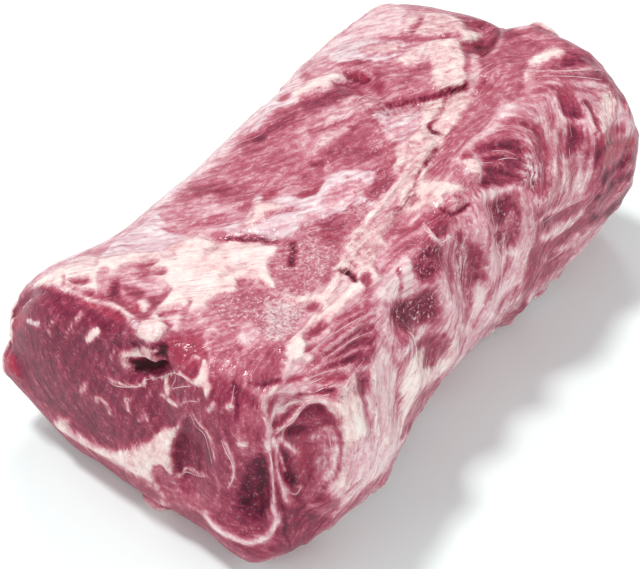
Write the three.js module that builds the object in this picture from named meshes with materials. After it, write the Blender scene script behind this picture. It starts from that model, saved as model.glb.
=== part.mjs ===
// A raw whole boneless ribeye: one thick slab of beef, cut square at both ends.
// Millimetres, +Z up, +X along the slab from the cut face that shows the eye muscle to the far end,
// +Y towards the smooth cap side. The rib side, where the bones lay, faces -Y.
// The slab is a box whose edges are rounded by power curves, whose width and height change along
// its length, and on which lobes, seams, cracks and rib bays are laid as soft-edged strokes.

import * as THREE from "three";
import { mergeVertices } from "three/addons/utils/BufferGeometryUtils.js";

// ---------------------------------------------------------------- driving dimensions
const LENGTH = 340; // between the two cut ends
const BED = 3; // how far the weight of the meat presses its underside flat

// Sizes at six even stations, from the front cut face to the far end.
const CAP_REACH = [116, 95, 91, 90, 96, 98]; // middle line to the cap side
const RIB_REACH = [80, 97, 86, 87, 93, 98]; // middle line to the rib side
const THICKNESS = [127, 120, 117, 124, 122, 118]; // board to the top, on the middle line
const TOP_FALL_FRONT = 0.17; // how much the top falls per millimetre towards the cap side
const TOP_FALL_BACK = 0.09;

// Powers of the rounding curves: 2 is a round edge, 10 and more a sharp one.
const EDGE_TOP_CAP = 3.7;
const EDGE_TOP_RIB = 3.1;
const EDGE_LOW_CAP = 2.4;
const EDGE_LOW_RIB = 3.6;
const EDGE_FRONT_CAP = 13;
const EDGE_FRONT_RIB = 9;
const EDGE_FAR = 7.5;

// The front face isn't cut square: it leans by these slopes, fading out past the middle.
const FRONT_SKEW = 0.084; // along the length, for each millimetre towards the cap side
const FRONT_LEAN = 0.048; // along the length, for each millimetre above FRONT_LEAN_LEVEL
const FRONT_LEAN_LEVEL = 57;
const FRONT_REACH = 1.2; // in half lengths, how far the slopes fade over
const FRONT_FADE_END = 0.2;

const STEPS_ALONG = 52; // faces along the length, the width and the height
const STEPS_ACROSS = 27;
const STEPS_UP = 17;

// ---------------------------------------------------------------- strokes laid on the slab
// Each face is read in two of the part's axes; out is the axis that it looks along.
const FACES = {
  top: { a: "x", b: "y", out: "z", sign: 1 },
  rib: { a: "x", b: "z", out: "y", sign: -1 },
  cap: { a: "x", b: "z", out: "y", sign: 1 },
  cut: { a: "y", b: "z", out: "x", sign: -1 },
  end: { a: "y", b: "z", out: "x", sign: 1 },
};

// name, face, path on that face, radius of the soft edge, lift (below zero sinks)
const stroke = (name, face, path, radius, lift) => ({ name, face, path, radius, lift });

const CUT_FACE = [
  stroke("eye muscle", "cut", [[62, 70], [30, 62]], 34, 4.5),
  stroke("cap muscle", "cut", [[-45, 75], [-40, 45]], 24, 2.5),
  stroke("tip of the eye", "cut", [[104, 50]], 14, 7),
  stroke("shoulder of the eye", "cut", [[106, 94]], 15, -6),
  stroke("hole under the fat nub", "cut", [[6, 110], [-8, 109]], 8, -8),
  stroke("seam between the muscles", "cut", [[-2, 100], [-14, 72]], 9, -2.5),
  stroke("step beside the fat seam", "cut", [[-27, 70], [-25, 48]], 9, -4.5),
  stroke("hollow low on the rib side", "cut", [[-66, 80], [-64, 62]], 12, -4),
  stroke("foot of the rib corner", "cut", [[-74, 12]], 24, 8),
  stroke("undercut", "cut", [[40, 6], [-36, 6]], 13, -3),
];

const TOP_FACE = [
  stroke("fat nub", "top", [[-160, 10], [-160, -2]], 9, 5),
  stroke("front cap corner", "top", [[-155, 96]], 14, -2),
  stroke("fat valley", "top", [[-112, -50], [-70, -50], [-20, -46], [40, -34], [96, -26]], 11, -3.5),
  stroke("rib roll", "top", [[-120, -68], [-70, -66], [-25, -66], [30, -62], [85, -58], [135, -52]], 13, 3.5),
  stroke("deep crack", "top", [[50, 6], [58, -4], [68, -11], [80, -16], [94, -18]], 6, -8),
  stroke("side crack", "top", [[62, 46], [62, 34], [57, 22]], 6, -5),
  stroke("waist crack", "top", [[-82, 20], [-73, 8], [-66, -3]], 6, -4),
  stroke("fold crack", "top", [[66, -19], [44, -24], [38, -33], [16, -38], [-16, -45]], 6, -3),
  stroke("far notch", "top", [[158, 12], [138, 2], [122, 0]], 8, -6),
  stroke("far shoulder", "top", [[150, -36], [146, -50]], 18, 6),
  stroke("far fat", "top", [[140, 70]], 18, 2),
  stroke("middle rise", "top", [[-40, 10], [10, 20]], 30, 2.5),
  stroke("saddle", "top", [[-110, 20], [-100, 50]], 26, -2),
];

const RIB_SIDE = [
  stroke("whorl hollow", "rib", [[-150, 112], [-150, 92], [-150, 72]], 11, -6),
  stroke("whorl rim", "rib", [[-128, 108], [-128, 80], [-142, 54]], 10, 4),
  stroke("low bulge", "rib", [[-112, 42]], 22, 1.5),
  stroke("far foot", "rib", [[128, 10]], 24, -5),
  stroke("far belly", "rib", [[140, 62]], 24, 5),
  stroke("far top edge", "rib", [[140, 106]], 18, -7),
  stroke("low bay", "rib", [[-62, 12], [-20, 12]], 16, -2.5),
  stroke("second low bay", "rib", [[18, 10]], 18, -6),
  stroke("loose tag", "rib", [[48, 12]], 9, 4),
];

// Where the bones lay: a sunk bay under each, and the meat between the ribs standing up beside it.
const RIB_BAYS = [
  stroke("first bay", "rib", [[-92, 98], [-84, 60]], 13, -3.5),
  stroke("second bay", "rib", [[-56, 108], [-56, 84]], 14, -6),
  stroke("third bay", "rib", [[-12, 104], [-6, 86]], 12, -5),
  stroke("fourth bay", "rib", [[28, 110], [24, 92]], 12, -5),
  stroke("fifth bay", "rib", [[90, 114], [92, 98]], 11, -5),
];
const RIB_MEAT = [
  stroke("first rib meat", "rib", [[-72, 100], [-66, 60]], 9, 3),
  stroke("second rib meat", "rib", [[-32, 104], [-26, 56]], 10, 3),
  stroke("third rib meat", "rib", [[8, 104], [8, 56]], 10, 3.5),
  stroke("fourth rib meat", "rib", [[58, 100], [44, 50]], 12, 3.5),
  stroke("fifth rib meat", "rib", [[112, 100], [104, 60]], 11, 3),
];

// The sides that lie away from the light: the cap side and the far cut face.
const CAP_SIDE = [
  stroke("cap groove", "cap", [[-120, 58], [-40, 46], [40, 52]], 12, -2.5),
  stroke("cap swell", "cap", [[-60, 76], [20, 78]], 22, 2),
  stroke("cap dimple", "cap", [[70, 70], [104, 60]], 14, -2.5),
  stroke("cap lip", "cap", [[60, 30], [128, 34]], 15, 2.5),
];
const FAR_END = [
  stroke("far eye muscle", "end", [[40, 58], [14, 62]], 34, 4.5),
  stroke("far seam", "end", [[2, 108], [-14, 84], [-22, 50], [-8, 20]], 8, -3.5),
  stroke("far cap muscle", "end", [[-58, 74], [-54, 44]], 22, 3),
  stroke("far hollow", "end", [[-34, 98]], 10, -3),
];

const STROKES = [
  ...CUT_FACE, ...TOP_FACE, ...RIB_SIDE, ...RIB_BAYS, ...RIB_MEAT, ...CAP_SIDE, ...FAR_END,
];

// ---------------------------------------------------------------- the slab's form
const smooth = (t) => THREE.MathUtils.smoothstep(t, 0, 1);
const mix = THREE.MathUtils.lerp;

// A smooth curve through a station table, read at along = -1 (front) to 1 (far end).
function stationCurve(sizes) {
  const curve = new THREE.SplineCurve(sizes.map((size, i) => new THREE.Vector2(i, size)));
  return (along) => curve.getPoint(THREE.MathUtils.clamp((along + 1) / 2, 0, 1)).y;
}

const capReach = stationCurve(CAP_REACH);
const ribReach = stationCurve(RIB_REACH);
const thickness = stationCurve(THICKNESS);

// How far out a point of a square reaches once the square's corners are rounded by a power curve.
function rounding(first, second, power) {
  const far = Math.max(Math.abs(first), Math.abs(second));
  const norm = (Math.abs(first) ** power + Math.abs(second) ** power) ** (1 / power);
  return norm > 0 ? far / norm : 1;
}

// A point on the surface of the cube from -1 to 1, moved to its place on the plain slab.
function ontoSlab(cube) {
  const towardsCap = smooth((cube.y + 1) / 2);
  const towardsTop = smooth((cube.z + 1) / 2);
  const topPower = mix(EDGE_TOP_RIB, EDGE_TOP_CAP, towardsCap);
  const lowPower = mix(EDGE_LOW_RIB, EDGE_LOW_CAP, towardsCap);
  const section = rounding(cube.y, cube.z, mix(lowPower, topPower, towardsTop));

  const ring = Math.max(Math.abs(cube.y), Math.abs(cube.z));
  const frontPower = mix(EDGE_FRONT_RIB, EDGE_FRONT_CAP, smooth((cube.y + 0.35) / 0.7));
  const end = rounding(cube.x, ring, cube.x < 0 ? frontPower : EDGE_FAR);

  const along = cube.x * end;
  const across = cube.y * section * end;
  const up = cube.z * section * end;

  const y = across * (across > 0 ? capReach(along) : ribReach(along));
  const fall = mix(TOP_FALL_FRONT, TOP_FALL_BACK, (along + 1) / 2);
  const half = (1 + up) / 2;
  const z = (thickness(along) + BED) * half - BED - fall * y * half;
  const lean = FRONT_SKEW * y + FRONT_LEAN * (z - FRONT_LEAN_LEVEL);
  const x = (along * LENGTH) / 2 + lean * smooth((FRONT_FADE_END - along) / FRONT_REACH);
  return new THREE.Vector3(x, y, Math.max(z, 0));
}

// Distance from a point of a face to a stroke's path.
function distanceToPath(a, b, path) {
  const at = new THREE.Vector3(a, b, 0);
  const nearest = new THREE.Vector3();
  const corners = path.map(([x, y]) => new THREE.Vector3(x, y, 0));
  if (corners.length === 1) return at.distanceTo(corners[0]);
  return Math.min(
    ...corners.slice(1).map((corner, i) => {
      new THREE.Line3(corners[i], corner).closestPointToPoint(at, true, nearest);
      return at.distanceTo(nearest);
    }),
  );
}

// How far all the strokes together lift the surface at a point with this normal.
function liftAt(point, normal) {
  return STROKES.reduce((sum, { face, path, radius, lift }) => {
    const { a, b, out, sign } = FACES[face];
    const facing = THREE.MathUtils.clamp(normal[out] * sign * 1.6, 0, 1);
    if (facing === 0) return sum;
    const distance = distanceToPath(point[a], point[b], path);
    return sum + lift * Math.exp(-((distance / radius) ** 2)) * facing;
  }, 0);
}

// A closed box surface with shared corners and no seams.
function cubeSurface() {
  const box = new THREE.BoxGeometry(2, 2, 2, STEPS_ALONG, STEPS_ACROSS, STEPS_UP);
  box.deleteAttribute("normal");
  box.deleteAttribute("uv");
  return mergeVertices(box, 1e-4);
}

function slabGeometry() {
  const slab = cubeSurface();
  const place = slab.getAttribute("position");
  const point = new THREE.Vector3();
  const normal = new THREE.Vector3();

  for (let i = 0; i < place.count; i += 1) {
    place.setXYZ(i, ...ontoSlab(point.fromBufferAttribute(place, i)));
  }
  slab.computeVertexNormals();

  const normals = slab.getAttribute("normal");
  for (let i = 0; i < place.count; i += 1) {
    point.fromBufferAttribute(place, i);
    normal.fromBufferAttribute(normals, i);
    point.addScaledVector(normal, liftAt(point, normal));
    place.setXYZ(i, point.x, point.y, Math.max(point.z, 0));
  }

  slab.computeVertexNormals();
  slab.computeBoundingBox();
  const middle = slab.boundingBox.getCenter(new THREE.Vector3());
  return slab.translate(-middle.x, -middle.y, 0);
}

// ---------------------------------------------------------------- the part
const RAW_BEEF = new THREE.MeshStandardMaterial({ color: 0xb0607a, roughness: 0.42, metalness: 0 });

const ribeye = new THREE.Mesh(slabGeometry(), RAW_BEEF);
ribeye.name = "ribeye";

const part = new THREE.Group();
part.add(ribeye);

export default part;
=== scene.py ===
"""A raw whole boneless ribeye: a thick slab of beef with square-cut ends, dressed for a pale studio.

The slab's form comes from named sizes. Fat, silverskin, cracks and muscle are then laid on it as named
daubs: those on the sides that the photograph shows are placed by its pixels, through the camera that
took it, and those on the other sides by millimetres. Each daub colours the surface and lifts or sinks
it; some paint shade into cracks, folds and hollows, and some paint white glint specks. Lengths are in
millimetres until a mesh is handed over, and Blender's metres after that.
"""

import logging
import math
from dataclasses import dataclass, field, replace
from enum import Enum

import bmesh
import bpy
import numpy as np
from mathutils import Matrix, Vector
from mathutils.bvhtree import BVHTree


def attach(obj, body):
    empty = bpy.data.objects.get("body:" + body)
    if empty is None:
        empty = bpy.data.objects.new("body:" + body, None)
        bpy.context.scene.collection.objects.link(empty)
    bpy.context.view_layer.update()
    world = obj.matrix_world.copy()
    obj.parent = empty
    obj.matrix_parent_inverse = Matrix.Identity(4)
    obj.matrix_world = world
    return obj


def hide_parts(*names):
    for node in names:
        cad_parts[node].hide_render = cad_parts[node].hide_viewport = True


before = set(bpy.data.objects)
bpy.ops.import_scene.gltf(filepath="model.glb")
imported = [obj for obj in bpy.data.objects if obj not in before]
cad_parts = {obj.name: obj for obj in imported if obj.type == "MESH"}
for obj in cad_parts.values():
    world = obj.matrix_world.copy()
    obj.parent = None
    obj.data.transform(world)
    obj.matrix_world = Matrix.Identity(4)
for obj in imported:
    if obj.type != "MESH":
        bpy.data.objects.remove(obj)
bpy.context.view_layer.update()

LOG = logging.getLogger("ribeye")
MM = 0.001  # metres in a millimetre
NODE = "ribeye"
BODY = "root"


# ------------------------------------------------------------------------------ the photograph's camera
@dataclass(frozen=True)
class PhotoView:
    """The camera that took the photograph, as a pinhole; lengths in millimetres, angles in degrees."""

    width_px: int = 640
    height_px: int = 569
    focal_px: float = 2000.0
    sensor: float = 36.0
    heading: float = 36.07
    tilt: float = 43.66
    roll: float = -0.3
    target: tuple[float, float, float] = (-19.08, 4.16, 45.33)
    distance: float = 1078.0

    def axes(self) -> tuple[np.ndarray, np.ndarray, np.ndarray]:
        """Work out which way the camera's right, up and ahead point.

        Returns:
            Three unit vectors in the slab's frame.
        """
        heading, tilt, roll = (math.radians(angle) for angle in (self.heading, self.tilt, self.roll))
        ahead = np.array(
            [math.cos(heading) * math.cos(tilt), math.sin(heading) * math.cos(tilt), -math.sin(tilt)]
        )
        level = np.array([math.sin(heading), -math.cos(heading), 0.0])
        above = np.cross(level, ahead)
        right = math.cos(roll) * level + math.sin(roll) * above
        up = math.cos(roll) * above - math.sin(roll) * level
        return right, up, ahead

    def eye(self) -> np.ndarray:
        """Give the place of the lens."""
        return np.array(self.target) - self.distance * self.axes()[2]

    def project(self, points: np.ndarray) -> tuple[np.ndarray, np.ndarray]:
        """Find where points of the slab show in the photograph.

        Args:
            points: Places in millimetres, one to a row.

        Returns:
            The pixel of each point, and how many pixels a millimetre takes there.
        """
        right, up, ahead = self.axes()
        away = points - self.eye()
        scale = self.focal_px / (away @ ahead)
        across = self.width_px / 2 + (away @ right) * scale
        down = self.height_px / 2 - (away @ up) * scale
        return np.stack([across, down], axis=1), scale

    def ray(self, pixel: tuple[float, float]) -> np.ndarray:
        """Give the direction in which a pixel looks."""
        right, up, ahead = self.axes()
        across = (pixel[0] - self.width_px / 2) / self.focal_px
        down = (pixel[1] - self.height_px / 2) / self.focal_px
        direction = ahead + across * right - down * up
        return direction / np.linalg.norm(direction)


VIEW = PhotoView()


# ------------------------------------------------------------------------------ small maths
def smooth(value: np.ndarray) -> np.ndarray:
    """Ease from 0 to 1 without corners."""
    held = np.clip(value, 0.0, 1.0)
    return held * held * (3.0 - 2.0 * held)


def mix(first: np.ndarray, second: np.ndarray, share: np.ndarray) -> np.ndarray:
    """Blend two values by a share from 0 to 1."""
    return first + (second - first) * share


def eased(
    before: np.ndarray, here: np.ndarray, after: np.ndarray, beyond: np.ndarray, share: np.ndarray
) -> np.ndarray:
    """Run a smooth curve between the middle two of four places.

    Args:
        before: The place ahead of the stretch.
        here: The place where it starts.
        after: The place where it ends.
        beyond: The place past its end.
        share: How far along the stretch to read it, from 0 to 1.

    Returns:
        The curve's place there.
    """
    leave, arrive = (after - before) / 2.0, (beyond - here) / 2.0
    cubic = 2.0 * here - 2.0 * after + leave + arrive
    square = -3.0 * here + 3.0 * after - 2.0 * leave - arrive
    return ((cubic * share + square) * share + leave) * share + here


def station_curve(sizes: tuple[float, ...], along: np.ndarray) -> np.ndarray:
    """Read a smooth curve through a table of even stations.

    Args:
        sizes: The value at each station.
        along: Where to read it, from -1 at the first station to 1 at the last.

    Returns:
        The value at each place.
    """
    table = np.array(sizes, dtype=float)
    last = len(table) - 1
    reach = np.clip((along + 1.0) / 2.0, 0.0, 1.0) * last
    start = np.minimum(reach.astype(int), last)
    part = reach - start
    before, here = table[np.maximum(start - 1, 0)], table[start]
    after, beyond = table[np.minimum(start + 1, last)], table[np.minimum(start + 2, last)]
    return eased(before, here, after, beyond, part)


Path = tuple[tuple[float, float], ...]


def trace(points: str) -> Path:
    """Read a path's corners, written as x,y pairs with spaces between them."""
    return tuple(tuple(float(number) for number in pair.split(",")) for pair in points.split())


def rounded_path(corners: Path, closed: bool, steps: int = 4) -> np.ndarray:
    """Run a smooth curve through given corners.

    Args:
        corners: The corners in order.
        closed: Whether the curve comes back to its first corner.
        steps: How many stretches each side is cut into.

    Returns:
        The curve's points, one to a row, the first repeated at the end where it is closed.
    """
    points = np.array(corners, dtype=float)
    if len(points) < 3:
        return points
    first, last = (points[-1:], points[:2]) if closed else (points[:1], points[-1:])
    ring = np.vstack([first, points, last])
    share = np.arange(steps)[:, None] / steps
    curve = []
    for before, here, after, beyond in zip(ring[:-3], ring[1:-2], ring[2:-1], ring[3:]):
        curve.append(eased(before, here, after, beyond, share))
    return np.vstack([*curve, points[:1] if closed else points[-1:]])


def distance_to(places: np.ndarray, path: np.ndarray) -> np.ndarray:
    """Measure how far flat places lie from a path.

    Args:
        places: Two coordinates to a row.
        path: The path's points, two coordinates to a row.

    Returns:
        One distance for each place.
    """
    if len(path) == 1:
        return np.linalg.norm(places - path[0], axis=1)
    nearest = np.full(len(places), np.inf)
    for start, end in zip(path[:-1], path[1:]):
        side = end - start
        length = max(float(side @ side), 1e-9)
        share = np.clip((places - start) @ side / length, 0.0, 1.0)
        nearest = np.minimum(nearest, np.linalg.norm(places - start - share[:, None] * side, axis=1))
    return nearest


def inside(places: np.ndarray, outline: np.ndarray) -> np.ndarray:
    """Tell which flat places lie within a closed outline, by counting the sides crossed on the way out."""
    crossings = np.zeros(len(places), dtype=bool)
    for start, end in zip(outline[:-1], outline[1:]):
        spans = (start[1] > places[:, 1]) != (end[1] > places[:, 1])
        rise = end[1] - start[1]
        if abs(rise) < 1e-9:
            continue
        meets = start[0] + (places[:, 1] - start[1]) * (end[0] - start[0]) / rise
        crossings ^= spans & (places[:, 0] < meets)
    return crossings


@dataclass(frozen=True)
class Grit:
    """Steady noise in space, from -1 to 1: the same number at the same place every time."""

    cell: float  # millimetres between its bumps
    seed: int = 0

    def _corner(self, cell: np.ndarray) -> np.ndarray:
        """Give each corner of the lattice its number."""
        grid = cell.astype(np.int64).astype(np.uint32)
        mixed = grid[:, 0] * np.uint32(0x8DA6B343) ^ grid[:, 1] * np.uint32(0xD8163841)
        mixed ^= grid[:, 2] * np.uint32(0xCB1AB31F) ^ np.uint32(self.seed * 7919 + 17)
        mixed = (mixed ^ (mixed >> np.uint32(13))) * np.uint32(0x5BD1E995)
        mixed = (mixed ^ (mixed >> np.uint32(15))) * np.uint32(0x27D4EB2F)
        return (mixed ^ (mixed >> np.uint32(14))) / 2147483648.0 - 1.0

    def at(self, points: np.ndarray) -> np.ndarray:
        """Read the noise at places in millimetres, one to a row."""
        scaled = points / self.cell
        low = np.floor(scaled)
        share = smooth(scaled - low)
        total = np.zeros(len(points))
        for corner in np.ndindex(2, 2, 2):
            step = np.array(corner)
            weight = np.prod(np.where(step == 1, share, 1.0 - share), axis=1)
            total += weight * self._corner(low + step)
        return total

    def rough(self, points: np.ndarray, octaves: int = 3) -> np.ndarray:
        """Read it with finer noise on top, each layer half as large and half as strong."""
        total = np.zeros(len(points))
        for octave in range(octaves):
            finer = Grit(self.cell / 2.0**octave, self.seed + 31 * octave)
            total += finer.at(points) / 2.0**octave
        return total / 1.6

    def combed(self, points: np.ndarray, grain: np.ndarray, reach: float, taps: int = 7) -> np.ndarray:
        """Read it smeared along the grain, so that its bumps become strands.

        Args:
            points: Places in millimetres, one to a row.
            grain: The unit direction of the strands at each place.
            reach: How far each way it is smeared, in millimetres.
            taps: How many readings make the smear.

        Returns:
            The strands' height, from about -1 to 1.
        """
        steps = np.linspace(-reach, reach, taps)
        total = sum(self.at(points + grain * step) for step in steps)
        return total * (1.7 / taps)


# ------------------------------------------------------------------------------ the slab's own form
class Face(Enum):
    """A side of the slab: the two axes it is read in, the axis it looks along, and which way."""

    TOP = (0, 1, 2, 1)
    RIB = (0, 2, 1, -1)
    CAP = (0, 2, 1, 1)
    CUT = (1, 2, 0, -1)
    END = (1, 2, 0, 1)
    UNDER = (0, 1, 2, -1)

    def flat(self, points: np.ndarray) -> np.ndarray:
        """Read points in the side's own two axes."""
        return points[:, [self.value[0], self.value[1]]]

    def facing(self, normals: np.ndarray) -> np.ndarray:
        """Say how squarely each normal looks out of this side, from 0 to 1."""
        return np.clip(normals[:, self.value[2]] * self.value[3] * 1.6, 0.0, 1.0)


@dataclass(frozen=True)
class Swell:
    """A soft-edged lobe or hollow: a path on a side, the radius of its edge, and how far it lifts."""

    name: str
    face: Face
    path: Path
    radius: float
    lift: float


SWELLS = (
    Swell("eye muscle", Face.CUT, ((62, 70), (30, 62)), 34, 4.5),
    Swell("cap muscle", Face.CUT, ((-45, 75), (-40, 45)), 24, 2.5),
    Swell("tip of the eye", Face.CUT, ((104, 38),), 14, 5),
    Swell("shoulder of the eye", Face.CUT, ((106, 94),), 15, -6),
    Swell("hole under the fat nub", Face.CUT, ((6, 110), (-8, 109)), 8, -8),
    Swell("seam between the muscles", Face.CUT, ((-2, 100), (-14, 72)), 9, -2.5),
    Swell("step beside the fat seam", Face.CUT, ((-27, 70), (-25, 48)), 9, -4.5),
    Swell("hollow low on the rib side", Face.CUT, ((-66, 80), (-64, 62)), 12, -4),
    Swell("foot of the rib corner", Face.CUT, ((-74, 12),), 24, 8),
    Swell("undercut", Face.CUT, ((40, 6), (-36, 6)), 13, -3),
    Swell("fat nub", Face.TOP, ((-160, 10), (-160, -2)), 9, 5),
    Swell("front cap corner", Face.TOP, ((-155, 96),), 14, -2),
    Swell("fat valley", Face.TOP, ((-112, -50), (-70, -50), (-20, -46), (40, -34), (96, -26)), 11, -3.5),
    Swell("rib roll", Face.TOP, ((-120, -68), (-70, -66), (-25, -66), (30, -62), (85, -58), (135, -52)),
          13, 3.5),
    Swell("deep crack", Face.TOP, ((50, 6), (58, -4), (68, -11), (80, -16), (94, -18)), 6, -8),
    Swell("side crack", Face.TOP, ((62, 46), (62, 34), (57, 22)), 6, -5),
    Swell("waist crack", Face.TOP, ((-82, 20), (-73, 8), (-66, -3)), 6, -4),
    Swell("fold crack", Face.TOP, ((66, -19), (44, -24), (38, -33), (16, -38), (-16, -45)), 6, -3),
    Swell("far notch", Face.TOP, ((150, 12), (138, 4), (122, 0)), 7, -5.5),
    Swell("far shoulder", Face.TOP, ((157, -16), (150, -48)), 16, 6.5),
    Swell("far fat", Face.TOP, ((140, 70),), 18, 2),
    Swell("middle rise", Face.TOP, ((-40, 10), (10, 20)), 30, 2.5),
    Swell("saddle", Face.TOP, ((-110, 20), (-100, 50)), 26, -2),
    Swell("whorl hollow", Face.RIB, ((-150, 112), (-150, 92), (-150, 72)), 11, -6),
    Swell("whorl rim", Face.RIB, ((-128, 108), (-128, 80), (-142, 54)), 10, 4),
    Swell("low bulge", Face.RIB, ((-112, 42),), 22, 1.5),
    Swell("far foot", Face.RIB, ((128, 10),), 24, -5),
    Swell("far belly", Face.RIB, ((140, 62),), 24, 5),
    Swell("far top edge", Face.RIB, ((140, 106),), 18, -7),
    Swell("low bay", Face.RIB, ((-62, 12), (-20, 12)), 16, -2.5),
    Swell("second low bay", Face.RIB, ((18, 10),), 18, -6),
    Swell("loose tag", Face.RIB, ((48, 12),), 9, 4),
    Swell("first bay", Face.RIB, ((-92, 98), (-84, 60)), 13, -3.5),
    Swell("second bay", Face.RIB, ((-56, 108), (-56, 84)), 14, -6),
    Swell("third bay", Face.RIB, ((-12, 104), (-6, 86)), 12, -5),
    Swell("fourth bay", Face.RIB, ((28, 110), (24, 92)), 12, -5),
    Swell("fifth bay", Face.RIB, ((90, 114), (92, 98)), 11, -5),
    Swell("first rib meat", Face.RIB, ((-72, 100), (-66, 60)), 9, 3),
    Swell("second rib meat", Face.RIB, ((-32, 104), (-26, 56)), 10, 3),
    Swell("third rib meat", Face.RIB, ((8, 104), (8, 56)), 10, 3.5),
    Swell("fourth rib meat", Face.RIB, ((58, 100), (44, 50)), 12, 3.5),
    Swell("fifth rib meat", Face.RIB, ((112, 100), (104, 60)), 11, 3),
    Swell("cap's front shoulder", Face.CAP, ((-170, 98), (-170, 60)), 22, -7),
    Swell("cap groove", Face.CAP, ((-120, 58), (-40, 46), (40, 52)), 12, -2.5),
    Swell("cap swell", Face.CAP, ((-60, 76), (20, 78)), 22, 2),
    Swell("cap dimple", Face.CAP, ((70, 70), (104, 60)), 14, -2.5),
    Swell("cap lip", Face.CAP, ((60, 30), (128, 34)), 15, 2.5),
    Swell("far eye muscle", Face.END, ((40, 58), (14, 62)), 34, 4.5),
    Swell("far seam", Face.END, ((2, 108), (-14, 84), (-22, 50), (-8, 20)), 8, -3.5),
    Swell("far cap muscle", Face.END, ((-58, 74), (-54, 44)), 22, 3),
    Swell("far hollow", Face.END, ((-34, 98),), 10, -3),
)


@dataclass(frozen=True)
class SlabForm:
    """The plain slab: a box with power-curve edges, whose width and height change along its length."""

    length: float = 340.0
    bed: float = 3.0  # how far its weight presses the underside flat
    cap_reach: tuple[float, ...] = (116, 95, 91, 90, 96, 98)
    rib_reach: tuple[float, ...] = (80, 97, 86, 87, 93, 98)
    thickness: tuple[float, ...] = (127, 120, 117, 124, 122, 118)
    top_fall_front: float = 0.17
    top_fall_back: float = 0.09
    edge_top_cap: float = 3.7
    edge_top_rib: float = 3.1
    edge_low_cap: float = 2.4
    edge_low_rib: float = 3.6
    edge_front_cap: float = 13.0
    edge_front_rib: float = 9.0
    edge_far: float = 7.5
    front_skew: float = 0.084
    front_lean: float = 0.048
    front_lean_level: float = 57.0
    front_reach: float = 1.2
    front_fade_end: float = 0.2

    @staticmethod
    def _rounding(first: np.ndarray, second: np.ndarray, power: np.ndarray) -> np.ndarray:
        """Say how far out a point of a square stays once the square's corners are rounded."""
        first, second = np.abs(first), np.abs(second)
        norm = (first**power + second**power) ** (1.0 / power)
        return np.maximum(first, second) / np.maximum(norm, 1e-9)

    def place(self, cube: np.ndarray) -> np.ndarray:
        """Move points from the surface of a cube onto the plain slab.

        Args:
            cube: Points from -1 to 1 along each axis, one to a row.

        Returns:
            The same points in millimetres.
        """
        run, side, rise = cube.T
        to_cap, to_top = smooth((side + 1) / 2), smooth((rise + 1) / 2)
        top_power = mix(self.edge_top_rib, self.edge_top_cap, to_cap)
        low_power = mix(self.edge_low_rib, self.edge_low_cap, to_cap)
        section = self._rounding(side, rise, mix(low_power, top_power, to_top))

        ring = np.maximum(np.abs(side), np.abs(rise))
        front_power = mix(self.edge_front_rib, self.edge_front_cap, smooth((side + 0.35) / 0.7))
        end = self._rounding(run, ring, np.where(run < 0, front_power, self.edge_far))
        along, across, up = run * end, side * section * end, rise * section * end

        cap, rib = station_curve(self.cap_reach, along), station_curve(self.rib_reach, along)
        y = across * np.where(across > 0, cap, rib)
        fall = mix(self.top_fall_front, self.top_fall_back, (along + 1) / 2)
        half = (1 + up) / 2
        z = (station_curve(self.thickness, along) + self.bed) * half - self.bed - fall * y * half
        lean = self.front_skew * y + self.front_lean * (z - self.front_lean_level)
        x = along * self.length / 2 + lean * smooth((self.front_fade_end - along) / self.front_reach)
        return np.stack([x, y, np.maximum(z, 0.0)], axis=1)

    @staticmethod
    def swell(points: np.ndarray, normals: np.ndarray) -> np.ndarray:
        """Add up how far every lobe and hollow lifts the surface."""
        total = np.zeros(len(points))
        for form in SWELLS:
            facing = form.face.facing(normals)
            near = facing > 0
            gap = distance_to(form.face.flat(points[near]), np.array(form.path, dtype=float))
            total[near] += form.lift * np.exp(-((gap / form.radius) ** 2)) * facing[near]
        return total


# ------------------------------------------------------------------------------ what is laid on the slab
class Tissue(Enum):
    """What a place is made of and how it is painted: shares of fat, silverskin, pale gristle, deep red with
    painted shade, bright red, and painted glint specks.
    """

    LEAN = (0.0, 0.0, 0.0, 0.0, 0.0, 0.0)
    FAT = (1.0, 0.0, 0.9, 0.0, 0.0, 0.0)
    SILVER = (0.0, 1.0, 0.6, 0.0, 0.0, 0.0)
    PINK = (0.0, 0.0, 1.0, 0.0, 0.0, 0.0)
    # deep red muscle; in grooves, folds and hollows it also stands for painted shade
    DEEP_RED_AND_SHADE = (0.0, 0.0, 0.0, 1.0, 0.0, 0.0)
    BRIGHT = (0.0, 0.0, 0.0, 0.0, 1.0, 0.0)
    # paler muscle with painted white glint specks, over a real wet bump
    GLINT = (0.0, 0.0, 0.5, 0.0, 0.0, 1.0)
    GREY = (0.0, 0.4, 0.35, 0.45, 0.0, 0.0)
    # dark red muscle sprinkled with painted white glint specks
    DEEP_WITH_GLINTS = (0.0, 0.0, 0.05, 0.6, 0.15, 0.9)
    # near-black red painted shade at the bottom of cracks, slits and holes
    CLEFT_SHADE = (0.0, 0.0, 0.0, 2.0, 0.6, 0.0)


class Chart(Enum):
    """Where a daub's numbers are read: in the photograph's pixels, or in millimetres on a side."""

    PHOTO = None
    CAP = Face.CAP
    END = Face.END
    UNDER = Face.UNDER


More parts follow.
